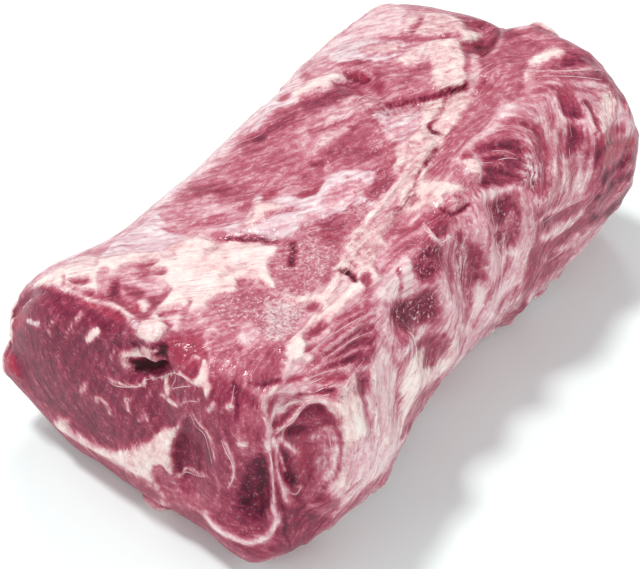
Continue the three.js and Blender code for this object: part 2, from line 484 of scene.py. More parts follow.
@dataclass(frozen=True)
class Daub:
    """One patch or streak laid on the slab: what it is, where, how wide, and how far it lifts."""

    name: str
    tissue: Tissue
    path: Path
    width: float = 0.0  # millimetres across a streak, and nothing for a patch
    lift: float = 0.0  # millimetres, and below zero for a groove
    strength: float = 1.0
    soft: float = 0.0  # millimetres over which its edge fades, and nothing for its coat's own
    chart: Chart = Chart.PHOTO

    def cover(self, places: np.ndarray, scale: np.ndarray, soft: float) -> tuple[np.ndarray, np.ndarray]:
        """Say which places the daub reaches and how fully it covers each.

        Args:
            places: The chart's two coordinates, one place to a row.
            scale: How many of the chart's units a millimetre takes at each place.
            soft: The millimetres over which its edge fades, where it names none.

        Returns:
            The numbers of the places it reaches, and its cover of each from 0 to 1.
        """
        patch = self.width == 0.0
        soft = self.soft or soft
        path = rounded_path(self.path, closed=patch)
        margin = (self.width / 2 + soft) * float(scale.max())
        low, high = path.min(axis=0) - margin, path.max(axis=0) + margin
        near = np.nonzero(np.all((places > low) & (places < high), axis=1))[0]
        gap = distance_to(places[near], path) / scale[near]
        if patch:
            depth = np.where(inside(places[near], path), gap, -gap)
        else:
            depth = self.width / 2 - gap
        return near, np.clip(0.5 + depth / soft, 0.0, 1.0)


def patch(
    name: str, tissue: Tissue, lift: float, outline: str, strength: float = 1.0, soft: float = 0.0
) -> Daub:
    """Lay a closed patch, by its outline as trace reads it."""
    return Daub(name, tissue, trace(outline), 0.0, lift, strength, soft)


def streak(
    name: str,
    tissue: Tissue,
    width: float,
    lift: float,
    path: str,
    strength: float = 1.0,
    soft: float = 0.0,
) -> Daub:
    """Lay a streak of one width, by its middle line as trace reads it."""
    return Daub(name, tissue, trace(path), width, lift, strength, soft)


def streaks(name: str, tissue: Tissue, *rows: tuple[float | str, ...]) -> tuple[Daub, ...]:
    """Lay streaks of one kind, each by what streak takes after its tissue."""
    return tuple(streak(f"{name} {number}", tissue, *row) for number, row in enumerate(rows, 1))


T = Tissue
Box = tuple[tuple[float, float], tuple[float, float]]

CUT_FACE = (
    patch("eye muscle face", T.DEEP_RED_AND_SHADE, 0.0, "20,296 46,287 62,291 92,300 124,316 134,346 162,346 180,372 "
          "200,392 180,426 150,440 105,448 66,425 28,392 6,360 10,316", strength=0.42),
    patch("second muscle face", T.DEEP_RED_AND_SHADE, 0.0, "166,346 204,352 214,380 256,396 262,440 268,520 230,540 "
          "160,500 170,440 184,418 180,372", strength=0.18),
    patch("second muscle's pale side", T.PINK, 0.0, "226,400 244,404 262,420 264,446 252,462 236,452 "
          "228,426", strength=0.12),
    patch("bright corner", T.BRIGHT, 0.0, "22,293 36,290 33,300 20,306", strength=0.2),
    patch("dark corner", T.DEEP_RED_AND_SHADE, 0.0, "24,298 42,292 46,310 34,328 24,318", strength=0.3, soft=5.0),
    patch("bright left edge", T.BRIGHT, 0.0, "14,312 20,306 22,318 18,330 11,330", strength=0.6),
    patch("bright top edge", T.BRIGHT, 0.0, "76,297 92,300 112,307 122,315 127,328 114,318 98,310 82,304",
          strength=0.6),
    patch("low red edge", T.BRIGHT, 0.0, "104,440 124,444 150,438 168,428 150,444 120,450", strength=0.5),
    patch("bright muscle under the nub", T.BRIGHT, 0.0, "164,342 196,340 204,348 200,366 176,372 164,360",
          strength=0.45),
    patch("red tag", T.BRIGHT, 1.5, "4,358 10,352 14,362 19,378 10,374 5,368"),
    streak("film on the top edge", T.FAT, 2.0, 0.6, "66,288 78,294 96,300 112,304 134,318", strength=0.75),
    patch("pale gristle by the nub", T.SILVER, 0.6, "130,318 141,322 140,332 134,338 130,328", strength=0.6),
    # painted shade inside the hole under the fat nub, and under its roof
    patch("hole", T.CLEFT_SHADE, -3.5, "128,362 138,358 150,356 160,350 164,358 162,368 140,374 130,370",
          strength=0.9),
    patch("hole's roof", T.CLEFT_SHADE, -2.0, "136,346 150,349 164,342 166,350 150,354 134,350", strength=0.8),
    patch("fat nub", T.FAT, 2.0, "142,322 152,320 163,323 169,330 154,342 143,341 137,335", strength=0.85),
    streak("fat crescent", T.FAT, 3.4, 1.6, "127,367 122,361 125,355 143,352", strength=0.8),
    streak("fat crescent's end", T.FAT, 2.0, 1.2, "142,353 148,355 152,354"),
    patch("oval fleck", T.FAT, 0.2, "85,343 86,336 91,330 97,328 97,334 91,341", soft=1.6),
    streak("fleck 1", T.FAT, 1.5, 0.1, "77,317 80,311", soft=2.0, strength=0.8),
    streak("fleck 2", T.FAT, 1.1, 0.1, "49,326 54,321", soft=1.8, strength=0.8),
    streak("fleck 3", T.SILVER, 2.0, 0.1, "26,321 32,325 36,324", soft=2.4),
    *streaks("fleck", T.FAT,
             (0.9, 0.1, "64,335 74,319", 0.8, 1.8), (2.4, 0.1, "79,394 83,387", 0.7, 3.0),
             (1.5, 0.1, "126,400 127,411", 1.0, 1.8), (0.9, 0.1, "98,400 104,405 109,416", 0.8, 1.8),
             (1.1, 0.1, "95,396 95,404", 1.0, 1.8), (1.0, 0.1, "108,359 114,351", 1.0, 1.8),
             (0.8, 0.1, "120,334 126,331", 0.8, 1.6), (0.9, 0.1, "45,330 50,338", 0.6, 1.8),
             (1.3, 0.1, "106,379 113,384", 0.7, 2.0), (1.2, 0.1, "138,420 143,416 146,422", 0.7, 2.0),
             (1.0, 0.1, "190,356 199,356", 1.0, 1.6), (1.6, 0.1, "206,412 213,405", 0.8, 2.0),
             (1.8, 0.1, "225,408 231,406", 1.0, 2.0), (1.8, 0.1, "237,446 245,446", 1.0, 2.0),
             (1.5, 0.1, "165,392 168,388", 1.0, 1.8), (1.6, 0.1, "160,396 168,403 176,407", 0.8, 2.2)),
    patch("fat wedge's film", T.PINK, 0.4, "52,424 66,420 68,430 88,443 120,462 130,476 112,466 92,452 "
          "66,436", strength=0.9),
    patch("fat strip", T.FAT, 0.6, "54,425 64,420 66,430 80,440 98,449 112,452 130,451 142,447 146,462 "
          "124,466 104,458 64,434"),
    patch("fat wedge", T.FAT, 1.2, "128,451 145,445 154,436 164,429 176,427 181,416 186,417 178,436 "
          "172,440 171,455 175,468 172,476 166,473 161,466 153,469 152,480 158,490 168,498 168,508 "
          "152,502 138,492 126,474 120,460", strength=0.82),
    patch("grey muscle", T.SILVER, 0.0, "154,470 161,468 168,477 180,481 186,486 172,494 160,490",
          strength=0.25),
    patch("wedge's foot", T.LEAN, 0.0, "118,470 132,474 146,482 160,494 158,504 140,496 124,484",
          strength=0.6, soft=5.0),
    # darker red, with painted shade where the fat wedge stands over this muscle
    patch("dark muscle", T.DEEP_RED_AND_SHADE, -1.0, "183,418 194,424 206,440 212,456 206,472 192,476 180,478 174,470 "
          "172,454 176,438", strength=0.45),
    patch("dark muscle's edge", T.CLEFT_SHADE, -1.2, "177,438 183,436 184,456 182,474 176,474 172,462 173,448",
          strength=0.35),
    patch("pale low muscle", T.PINK, 0.0, "166,496 196,494 214,500 216,512 190,513 168,507", strength=0.2),
    *streaks("seam line", T.FAT,
             (1.0, 0.1, "112,384 140,386 145,380 158,378 172,373 182,376 190,382 200,386", 1.0, 1.8),
             (1.0, 0.1, "165,378 164,388 166,396", 1.0, 1.8), (0.8, 0.0, "170,389 192,386", 0.6, 1.8),
             (0.8, 0.0, "182,403 198,402", 0.7, 1.8),
             (1.0, 0.1, "178,477 186,472 195,475 204,477", 1.0, 1.8),
             (1.0, 0.1, "190,415 196,426 205,434 213,462", 0.75, 2.0),
             (1.3, 0.1, "222,443 232,464 233,478 229,486", 0.85, 2.0),
             (0.8, 0.0, "142,402 154,387", 0.5, 1.8), (0.8, 0.0, "212,470 216,490 214,502", 0.5, 2.0)),
    patch("fat triangle", T.FAT, 0.5, "204,358 208,366 208,380 211,388 206,398 202,390 194,382 186,380 "
          "196,376 200,364", soft=2.0, strength=0.9),
    patch("pale muscle by the triangle", T.PINK, 0.3, "210,330 222,336 232,352 238,372 228,380 216,366 "
          "208,350", strength=0.3),
    # painted shade in the cleft
    patch("dark cleft", T.CLEFT_SHADE, -1.2, "232,384 240,384 238,398 238,410 233,418 233,402", strength=0.4),
    # painted shade in the hollow, darkest at its heart
    patch("dark hollow", T.DEEP_RED_AND_SHADE, -1.5, "242,482 250,468 258,457 266,462 270,484 270,506 262,522 246,520 "
          "236,505", strength=0.95),
    patch("dark hollow's heart", T.CLEFT_SHADE, -1.0, "250,488 262,482 268,498 262,512 250,506", strength=0.5),
    streak("curved band", T.PINK, 2.6, 1.2, "204,515 212,527 226,536 252,544 272,534 277,524",
           strength=1.05),
    patch("red foot", T.DEEP_RED_AND_SHADE, 0.5, "232,545 250,550 280,545 310,530 336,520 300,552 262,562 240,556",
          strength=0.25),
)

TOP_FACE = (
    patch("left shoulder film", T.SILVER, 0.3, "26,290 40,280 62,262 76,258 70,276 66,290 50,285"),
    patch("saddle fat", T.FAT, 1.0, "34,284 62,264 80,256 104,254 130,250 158,248 180,239 200,235 216,240 "
          "262,242 278,243 277,254 268,262 271,274 279,286 288,292 276,293 250,280 238,281 236,290 "
          "222,294 210,298 206,306 192,311 184,318 178,326 166,322 130,314 112,303 94,298 66,286 50,285"),
    patch("saddle's brown fold", T.PINK, 0.2, "100,270 108,268 110,282 104,292 98,288",
          strength=0.55, soft=3.0),
    patch("lilac film", T.SILVER, 0.5, "98,257 126,232 142,222 156,212 166,222 158,226 172,232 182,237 "
          "168,244 150,249 126,251"),
    patch("muscle island", T.LEAN, -0.8, "98,298 110,286 112,278 122,268 138,261 158,259 150,268 166,268 "
          "164,274 150,276 160,284 172,288 164,298 148,317 134,316 122,308 110,303"),
    patch("island's pale muscle", T.PINK, 0.3, "122,278 140,276 152,282 152,292 140,300 126,298 120,290",
          strength=0.8),
    # painted shade along the island's sunk edge
    patch("island's dark edge", T.DEEP_RED_AND_SHADE, -0.8, "109,296 110,286 116,280 118,288 114,298", strength=0.9),
    patch("island's fat", T.FAT, 0.5, "137,300 144,297 150,302 144,310"),
    patch("island's pale corner", T.PINK, 0.2, "112,276 122,266 134,263 138,270 124,276", strength=0.6),
    patch("island's pale end", T.PINK, 0.2, "148,284 160,280 166,286 158,292", strength=0.8),
    patch("island's red", T.BRIGHT, 0.0, "130,300 138,304 136,312 130,308", strength=0.8),
    patch("island's red end", T.LEAN, -0.3, "122,282 136,284 146,292 138,298 126,294",
          strength=0.8, soft=3.0),
    patch("red oval", T.LEAN, -0.6, "69,281 74,277 84,276 90,280 84,285 75,285"),
    streak("film line 1", T.LEAN, 1.2, -0.4, "64,277 65,285 72,289 80,295 102,301"),
    patch("flesh under the film line", T.LEAN, -0.3, "78,291 92,290 104,296 104,303 92,300", strength=0.9),
    streak("film line 2", T.PINK, 1.6, -0.2, "66,266 80,262 96,262"),
    patch("fat's brown folds", T.PINK, 0.2, "160,312 172,306 184,306 186,316 178,326 168,322"),
    *streaks("fold by the nub", T.LEAN,
             (1.2, -0.6, "160,314 182,309"), (1.4, -0.6, "166,320 170,324"),
             (1.2, -0.6, "182,318 190,302")),
    patch("saddle's blush 2", T.PINK, 0.0, "160,250 170,252 174,258 164,257"),
    streak("saddle's line 1", T.PINK, 1.4, -0.3, "206,252 222,244"),
    streak("saddle's line 2", T.LEAN, 1.0, -0.4, "236,280 246,278 258,279"),
    streak("saddle's line 3", T.LEAN, 1.4, -0.5, "262,282 270,287 282,289"),
    streak("saddle's line 4", T.PINK, 1.4, -0.2, "222,276 232,268 246,264"),
    patch("far left flesh", T.PINK, 0.0, "160,206 176,196 190,196 186,212 170,220 160,216", strength=0.5),
    patch("left flesh", T.PINK, 0.0, "240,146 262,138 292,140 296,158 270,172 240,176 226,164",
          strength=0.28, soft=9.0),
    patch("upper left flesh", T.LEAN, 0.0, "176,192 204,178 236,180 248,188 236,198 206,194",
          strength=1.0, soft=8.0),
    patch("flesh at the far left", T.LEAN, 0.0, "300,62 330,56 364,52 386,58 384,70 340,70 306,78",
          strength=0.6, soft=6.0),
    patch("pale at the left rim", T.PINK, 0.2, "262,116 272,108 278,120 272,138 264,136",
          strength=0.85, soft=5.0),
    patch("flesh by the left rim", T.DEEP_RED_AND_SHADE, 0.0, "238,138 262,124 276,108 296,106 294,122 272,136 250,146",
          strength=0.1, soft=8.0),
    # painted shade in the waist crack
    streak("waist crack 1", T.CLEFT_SHADE, 1.0, -1.4, "228,238 238,238 246,240 256,240"),
    streak("waist crack 2", T.CLEFT_SHADE, 1.0, -1.4, "262,239 277,240"),
    patch("silverskin", T.SILVER, 0.5, "222,228 232,221 244,217 250,208 253,197 262,193 274,198 290,194 "
          "303,195 318,188 324,180 334,171 348,167 364,169 376,172 376,180 366,188 368,196 384,194 "
          "376,203 360,207 345,213 330,216 306,226 296,230 290,237 270,238 250,232 234,234", strength=0.9),
    patch("silverskin's dull top", T.PINK, 0.0, "322,196 338,184 358,178 366,186 350,198 328,204",
          soft=5.0, strength=0.55),
    patch("silverskin's fat", T.FAT, 0.4, "238,226 250,216 255,202 266,199 278,203 288,204 276,213 "
          "252,226", strength=0.75),
    patch("silverskin's red 1", T.BRIGHT, -0.5, "262,197 268,189 276,186 274,193 266,199", strength=0.6),
    patch("silverskin's red 2", T.BRIGHT, -0.5, "298,193 308,185 322,180 320,187 308,194", strength=0.6),
    streak("silverskin's line 1", T.LEAN, 1.0, -0.4, "266,215 296,206"),
    streak("silverskin's line 2", T.PINK, 1.4, -0.3, "262,226 304,217 352,196"),
    streak("silverskin's line 3", T.LEAN, 1.2, -0.4, "300,226 316,219 336,213 356,204 372,199"),
    # paler muscle with painted white glint specks
    patch("round muscle", T.GLINT, 0.8, "278,245 284,238 300,236 312,226 346,214 362,208 366,214 356,224 "
          "346,234 334,270 318,289 304,293 290,292 280,286 272,274 268,262 277,254", strength=0.7),
    patch("round muscle's glints", T.GLINT, 0.0, "300,240 318,236 322,250 338,258 334,266 322,262 324,276 "
          "300,262 298,250"),
    patch("round muscle's red", T.BRIGHT, 0.0, "322,222 342,218 344,230 336,242 324,240", strength=0.35),
    # painted shade in the slits
    streak("slit 1", T.CLEFT_SHADE, 1.6, -1.8, "292,240 294,249"),
    streak("slit 2", T.CLEFT_SHADE, 1.8, -2.0, "292,255 292,263"),
    # the specks here are painted white glints
    patch("speckled muscle", T.GLINT, 0.3, "210,300 236,292 262,288 290,298 300,306 296,318 288,330 "
          "270,336 256,334 240,342 232,330 220,318", strength=0.75),
    patch("pale speckle 3", T.GLINT, 0.2, "268,300 286,300 300,306 312,300 300,318 286,334 272,344 "
          "266,326", strength=1.6),
    patch("pale speckle 1", T.PINK, 0.2, "240,322 252,322 256,332 246,344 238,336", strength=0.7),
    patch("smooth muscle", T.PINK, 0.6, "238,356 250,346 266,342 280,342 286,352 282,366 276,380 262,383 "
          "246,381 236,370", strength=0.22),
    # painted shade along the foot of the smooth muscle
    streak("smooth muscle's foot", T.CLEFT_SHADE, 1.0, -1.2, "250,383 264,384 278,381", strength=0.6),
    patch("front red rim", T.BRIGHT, 0.0, "166,342 176,334 196,330 204,338 196,344 176,346", strength=0.6),
    patch("fat streak on the front edge", T.PINK, 0.4, "206,330 216,328 216,344 212,360 206,366 208,346",
          strength=0.9),
    patch("upper left wing", T.SILVER, 0.5, "250,130 262,112 274,97 292,89 330,70 342,71 346,80 334,83 "
          "320,91 284,105 268,112 258,128", strength=0.95),
    patch("wing's fat", T.FAT, 0.4, "284,96 300,86 320,76 334,71 342,76 326,84 304,94", strength=0.9),
    patch("left rim red", T.DEEP_RED_AND_SHADE, -0.6, "248,136 254,133 262,136 256,140", strength=0.8),
    patch("left rim red 2", T.BRIGHT, -0.6, "276,100 284,94 290,94 282,101", strength=0.9),
    # painted shade in the fold
    patch("dark fold", T.DEEP_RED_AND_SHADE, -0.6, "300,98 318,92 344,80 360,84 352,92 318,106 304,106", strength=0.25),
    streak("wing streak 1", T.FAT, 1.6, 0.5, "326,122 338,108 350,98 358,94", strength=0.7),
    streak("wing streak 2", T.FAT, 1.6, 0.4, "308,152 346,126"),
    patch("wing blob", T.FAT, 0.6, "356,103 364,94 378,94 384,101 372,108 360,116 352,116", strength=0.4),
    patch("middle flesh 1", T.PINK, 0.4, "344,139 356,126 367,119 376,126 378,134 366,140 348,143 330,148",
          strength=0.2),
    patch("middle flesh 2", T.PINK, 0.4, "320,152 345,146 362,143 382,142 394,156 384,160 364,167 346,168 "
          "332,160", strength=0.36),
    # painted shade in the middle slit and the side crack
    streak("middle slit", T.DEEP_RED_AND_SHADE, 1.4, -0.8, "310,161 316,164 322,162"),
    streak("side crack", T.CLEFT_SHADE, 2.0, -2.6, "346,73 360,79 367,79", soft=2.0),
    patch("side crack's glow", T.BRIGHT, 0.3, "344,70 356,68 368,72 366,78 354,76", strength=0.5),
    patch("side crack's red", T.BRIGHT, -0.6, "374,75 380,76 384,84 382,94 376,90", strength=0.5),
    patch("film above the crack", T.PINK, 0.4, "384,74 400,66 420,62 432,64 434,82 426,92 404,97 390,92",
          strength=0.35),
    patch("crack's upper fat", T.FAT, 1.0, "398,58 410,48 426,40 446,37 459,38 464,50 468,66 470,76 "
          "460,86 437,91 431,82 431,66 420,62 404,64", strength=0.75),
    streak("fat's blush 1", T.PINK, 2.4, -0.2, "432,43 424,57"),
    streak("fat's blush 2", T.LEAN, 2.4, -0.5, "402,82 418,68 428,62"),
    patch("crack's red edge", T.BRIGHT, 0.2, "398,99 412,97 440,90 446,90 438,96 408,104 398,103",
          strength=0.55),
    # painted shade in the deep crack
    streak("deep crack's tail", T.CLEFT_SHADE, 1.2, -1.2, "388,104 395,106 404,103 424,100", soft=3.2),
    streak("deep crack 1", T.CLEFT_SHADE, 2.0, -2.4, "422,100 438,97 446,92 456,91", soft=3.2),
    streak("deep crack 2", T.CLEFT_SHADE, 3.2, -3.0, "454,91 463,89 468,84 475,79", soft=3.2),
    patch("right silverskin", T.SILVER, 0.6, "376,108 390,107 412,103 424,102 422,118 420,134 408,142 "
          "392,142 383,134 378,122 370,116", strength=0.6),
    patch("right fat", T.FAT, 0.9, "420,103 440,98 450,93 466,91 473,96 464,110 443,139 422,160 406,172 "
          "398,178 394,168 396,158 392,148 404,140 418,128 420,114", strength=0.78),
    streak("fold 1", T.BRIGHT, 1.5, -1.4, "449,99 431,124", strength=0.8),
    # painted shade in the fold
    streak("fold 2", T.CLEFT_SHADE, 1.6, -2.0, "431,126 434,131 441,134"),
    streak("film line 3", T.PINK, 1.6, -0.3, "386,124 400,114 416,108"),
    streak("film line 4", T.PINK, 1.6, -0.3, "388,136 416,120"),
    patch("far fat", T.FAT, 0.8, "398,30 402,16 410,10 442,12 456,17 463,22 464,31 460,35 446,34 410,37",
          strength=0.62),
    patch("far film", T.PINK, 0.4, "350,34 362,20 380,9 396,3 406,9 402,22 398,34 380,36", strength=0.9),
    patch("flesh at the film's end", T.LEAN, 0.0, "476,18 500,22 520,30 518,38 496,34 478,28",
          strength=0.85, soft=3.0),
    patch("flesh over the silverskin", T.LEAN, -0.2, "322,148 348,142 376,146 384,156 352,158 326,156",
          strength=0.55, soft=5.0),
    patch("far film's silver", T.SILVER, 0.5, "326,56 342,42 354,38 382,37 402,39 406,46 396,54 380,60 "
          "362,57 344,62 330,64", strength=0.75),
    patch("far film's fat", T.FAT, 0.4, "360,46 380,42 400,42 396,50 376,52 364,52", strength=0.6),
    patch("pink band", T.PINK, 0.2, "304,66 322,58 346,64 380,62 386,66 360,68 336,70 312,76", strength=0.6),
    streak("far line", T.LEAN, 0.9, -0.8, "380,35 428,37 444,36 448,33"),
    streak("far fold", T.LEAN, 1.6, -0.9, "407,35 418,24 422,17"),
    patch("notch", T.BRIGHT, -0.5, "464,40 472,38 490,30 496,24 498,36 492,48 484,58 476,54 466,50",
          strength=0.5),
    # painted shade in the notch and its crack
    patch("notch's heart", T.CLEFT_SHADE, -1.5, "476,42 482,38 484,46 478,50", strength=0.5),
    streak("notch's crack", T.CLEFT_SHADE, 1.4, -1.5, "478,56 484,48 492,40 497,28", strength=0.8),
    streak("notch's tongue", T.FAT, 2.2, 0.8, "466,76 470,68 471,60 476,56"),
    patch("pale flesh by the notch", T.PINK, 0.2, "468,60 476,56 482,70 478,86 470,88",
          strength=0.8, soft=4.0),
    streak("notch's tongue 2", T.LEAN, 1.4, -0.6, "466,70 470,52"),
    patch("fat by the notch", T.FAT, 0.6, "462,30 474,30 482,34 474,40 464,38"),
    patch("far mottled flesh", T.PINK, 0.0, "486,60 504,56 520,62 518,84 508,96 494,86 484,76",
          strength=0.3),
    patch("band round the muscle", T.FAT, 1.0, "282,291 300,296 318,292 329,283 341,258 344,245 362,222 "
          "370,210 384,196 398,178 414,166 430,152 444,139 447,143 438,158 428,172 412,198 390,222 "
          "380,232 384,242 374,252 372,264 380,274 374,284 362,290 350,300 340,312 330,318 320,317 "
          "320,308 312,300 300,302 288,298"),
    patch("notch by the muscle", T.LEAN, -0.4, "360,276 368,270 372,280 366,288", strength=0.9, soft=2.5),
    patch("band's red", T.LEAN, -0.2, "312,302 318,303 322,307 316,309 309,306"),
    streak("band's groove 1", T.PINK, 1.6, -0.8, "342,290 356,272 358,262"),
    streak("band's groove 2", T.PINK, 1.6, -0.6, "330,302 342,284"),
    # painted shade in the black slits
    streak("black slit 1", T.CLEFT_SHADE, 1.6, -1.8, "342,270 347,272"),
    streak("black slit 2", T.CLEFT_SHADE, 2.0, -2.4, "348,271 356,279"),
    patch("band's speckle", T.PINK, 0.3, "344,240 358,236 374,240 372,256 360,266 346,262", strength=0.2),
    patch("band's middle", T.FAT, 0.3, "344,248 352,234 374,212 388,204 398,197 409,201 402,209 385,230 "
          "377,256 372,266 360,268 350,264", strength=0.6),
    patch("band's branch", T.FAT, 0.4, "398,196 412,186 428,180 446,180 462,184 470,190 452,191 428,205 "
          "412,211 400,212", strength=0.9),
    patch("red field in the fat", T.LEAN, -0.2, "366,194 370,184 378,172 392,171 392,178 376,197"),
    streak("fat fold 1", T.LEAN, 1.8, -1.0, "397,213 417,197"),
    streak("fat fold 2", T.BRIGHT, 1.3, -1.4, "402,202 411,192 419,172 425,164", strength=0.6),
    # painted shade in the fold
    streak("fat fold 3", T.CLEFT_SHADE, 1.3, -1.6, "425,164 438,148", strength=0.8),
    streak("fat fold 4", T.PINK, 1.8, -0.8, "388,206 410,176"),
    streak("fat fold 5", T.LEAN, 1.6, -0.6, "386,188 404,166", strength=0.8),
    streak("fat fold 6", T.PINK, 1.6, -0.6, "376,218 392,200"),
    patch("muscle strip", T.PINK, 0.4, "474,97 482,90 494,88 501,94 497,106 488,120 476,133 465,143 "
          "448,170 440,178 428,175 430,165 440,150 461,122", strength=0.3),
)

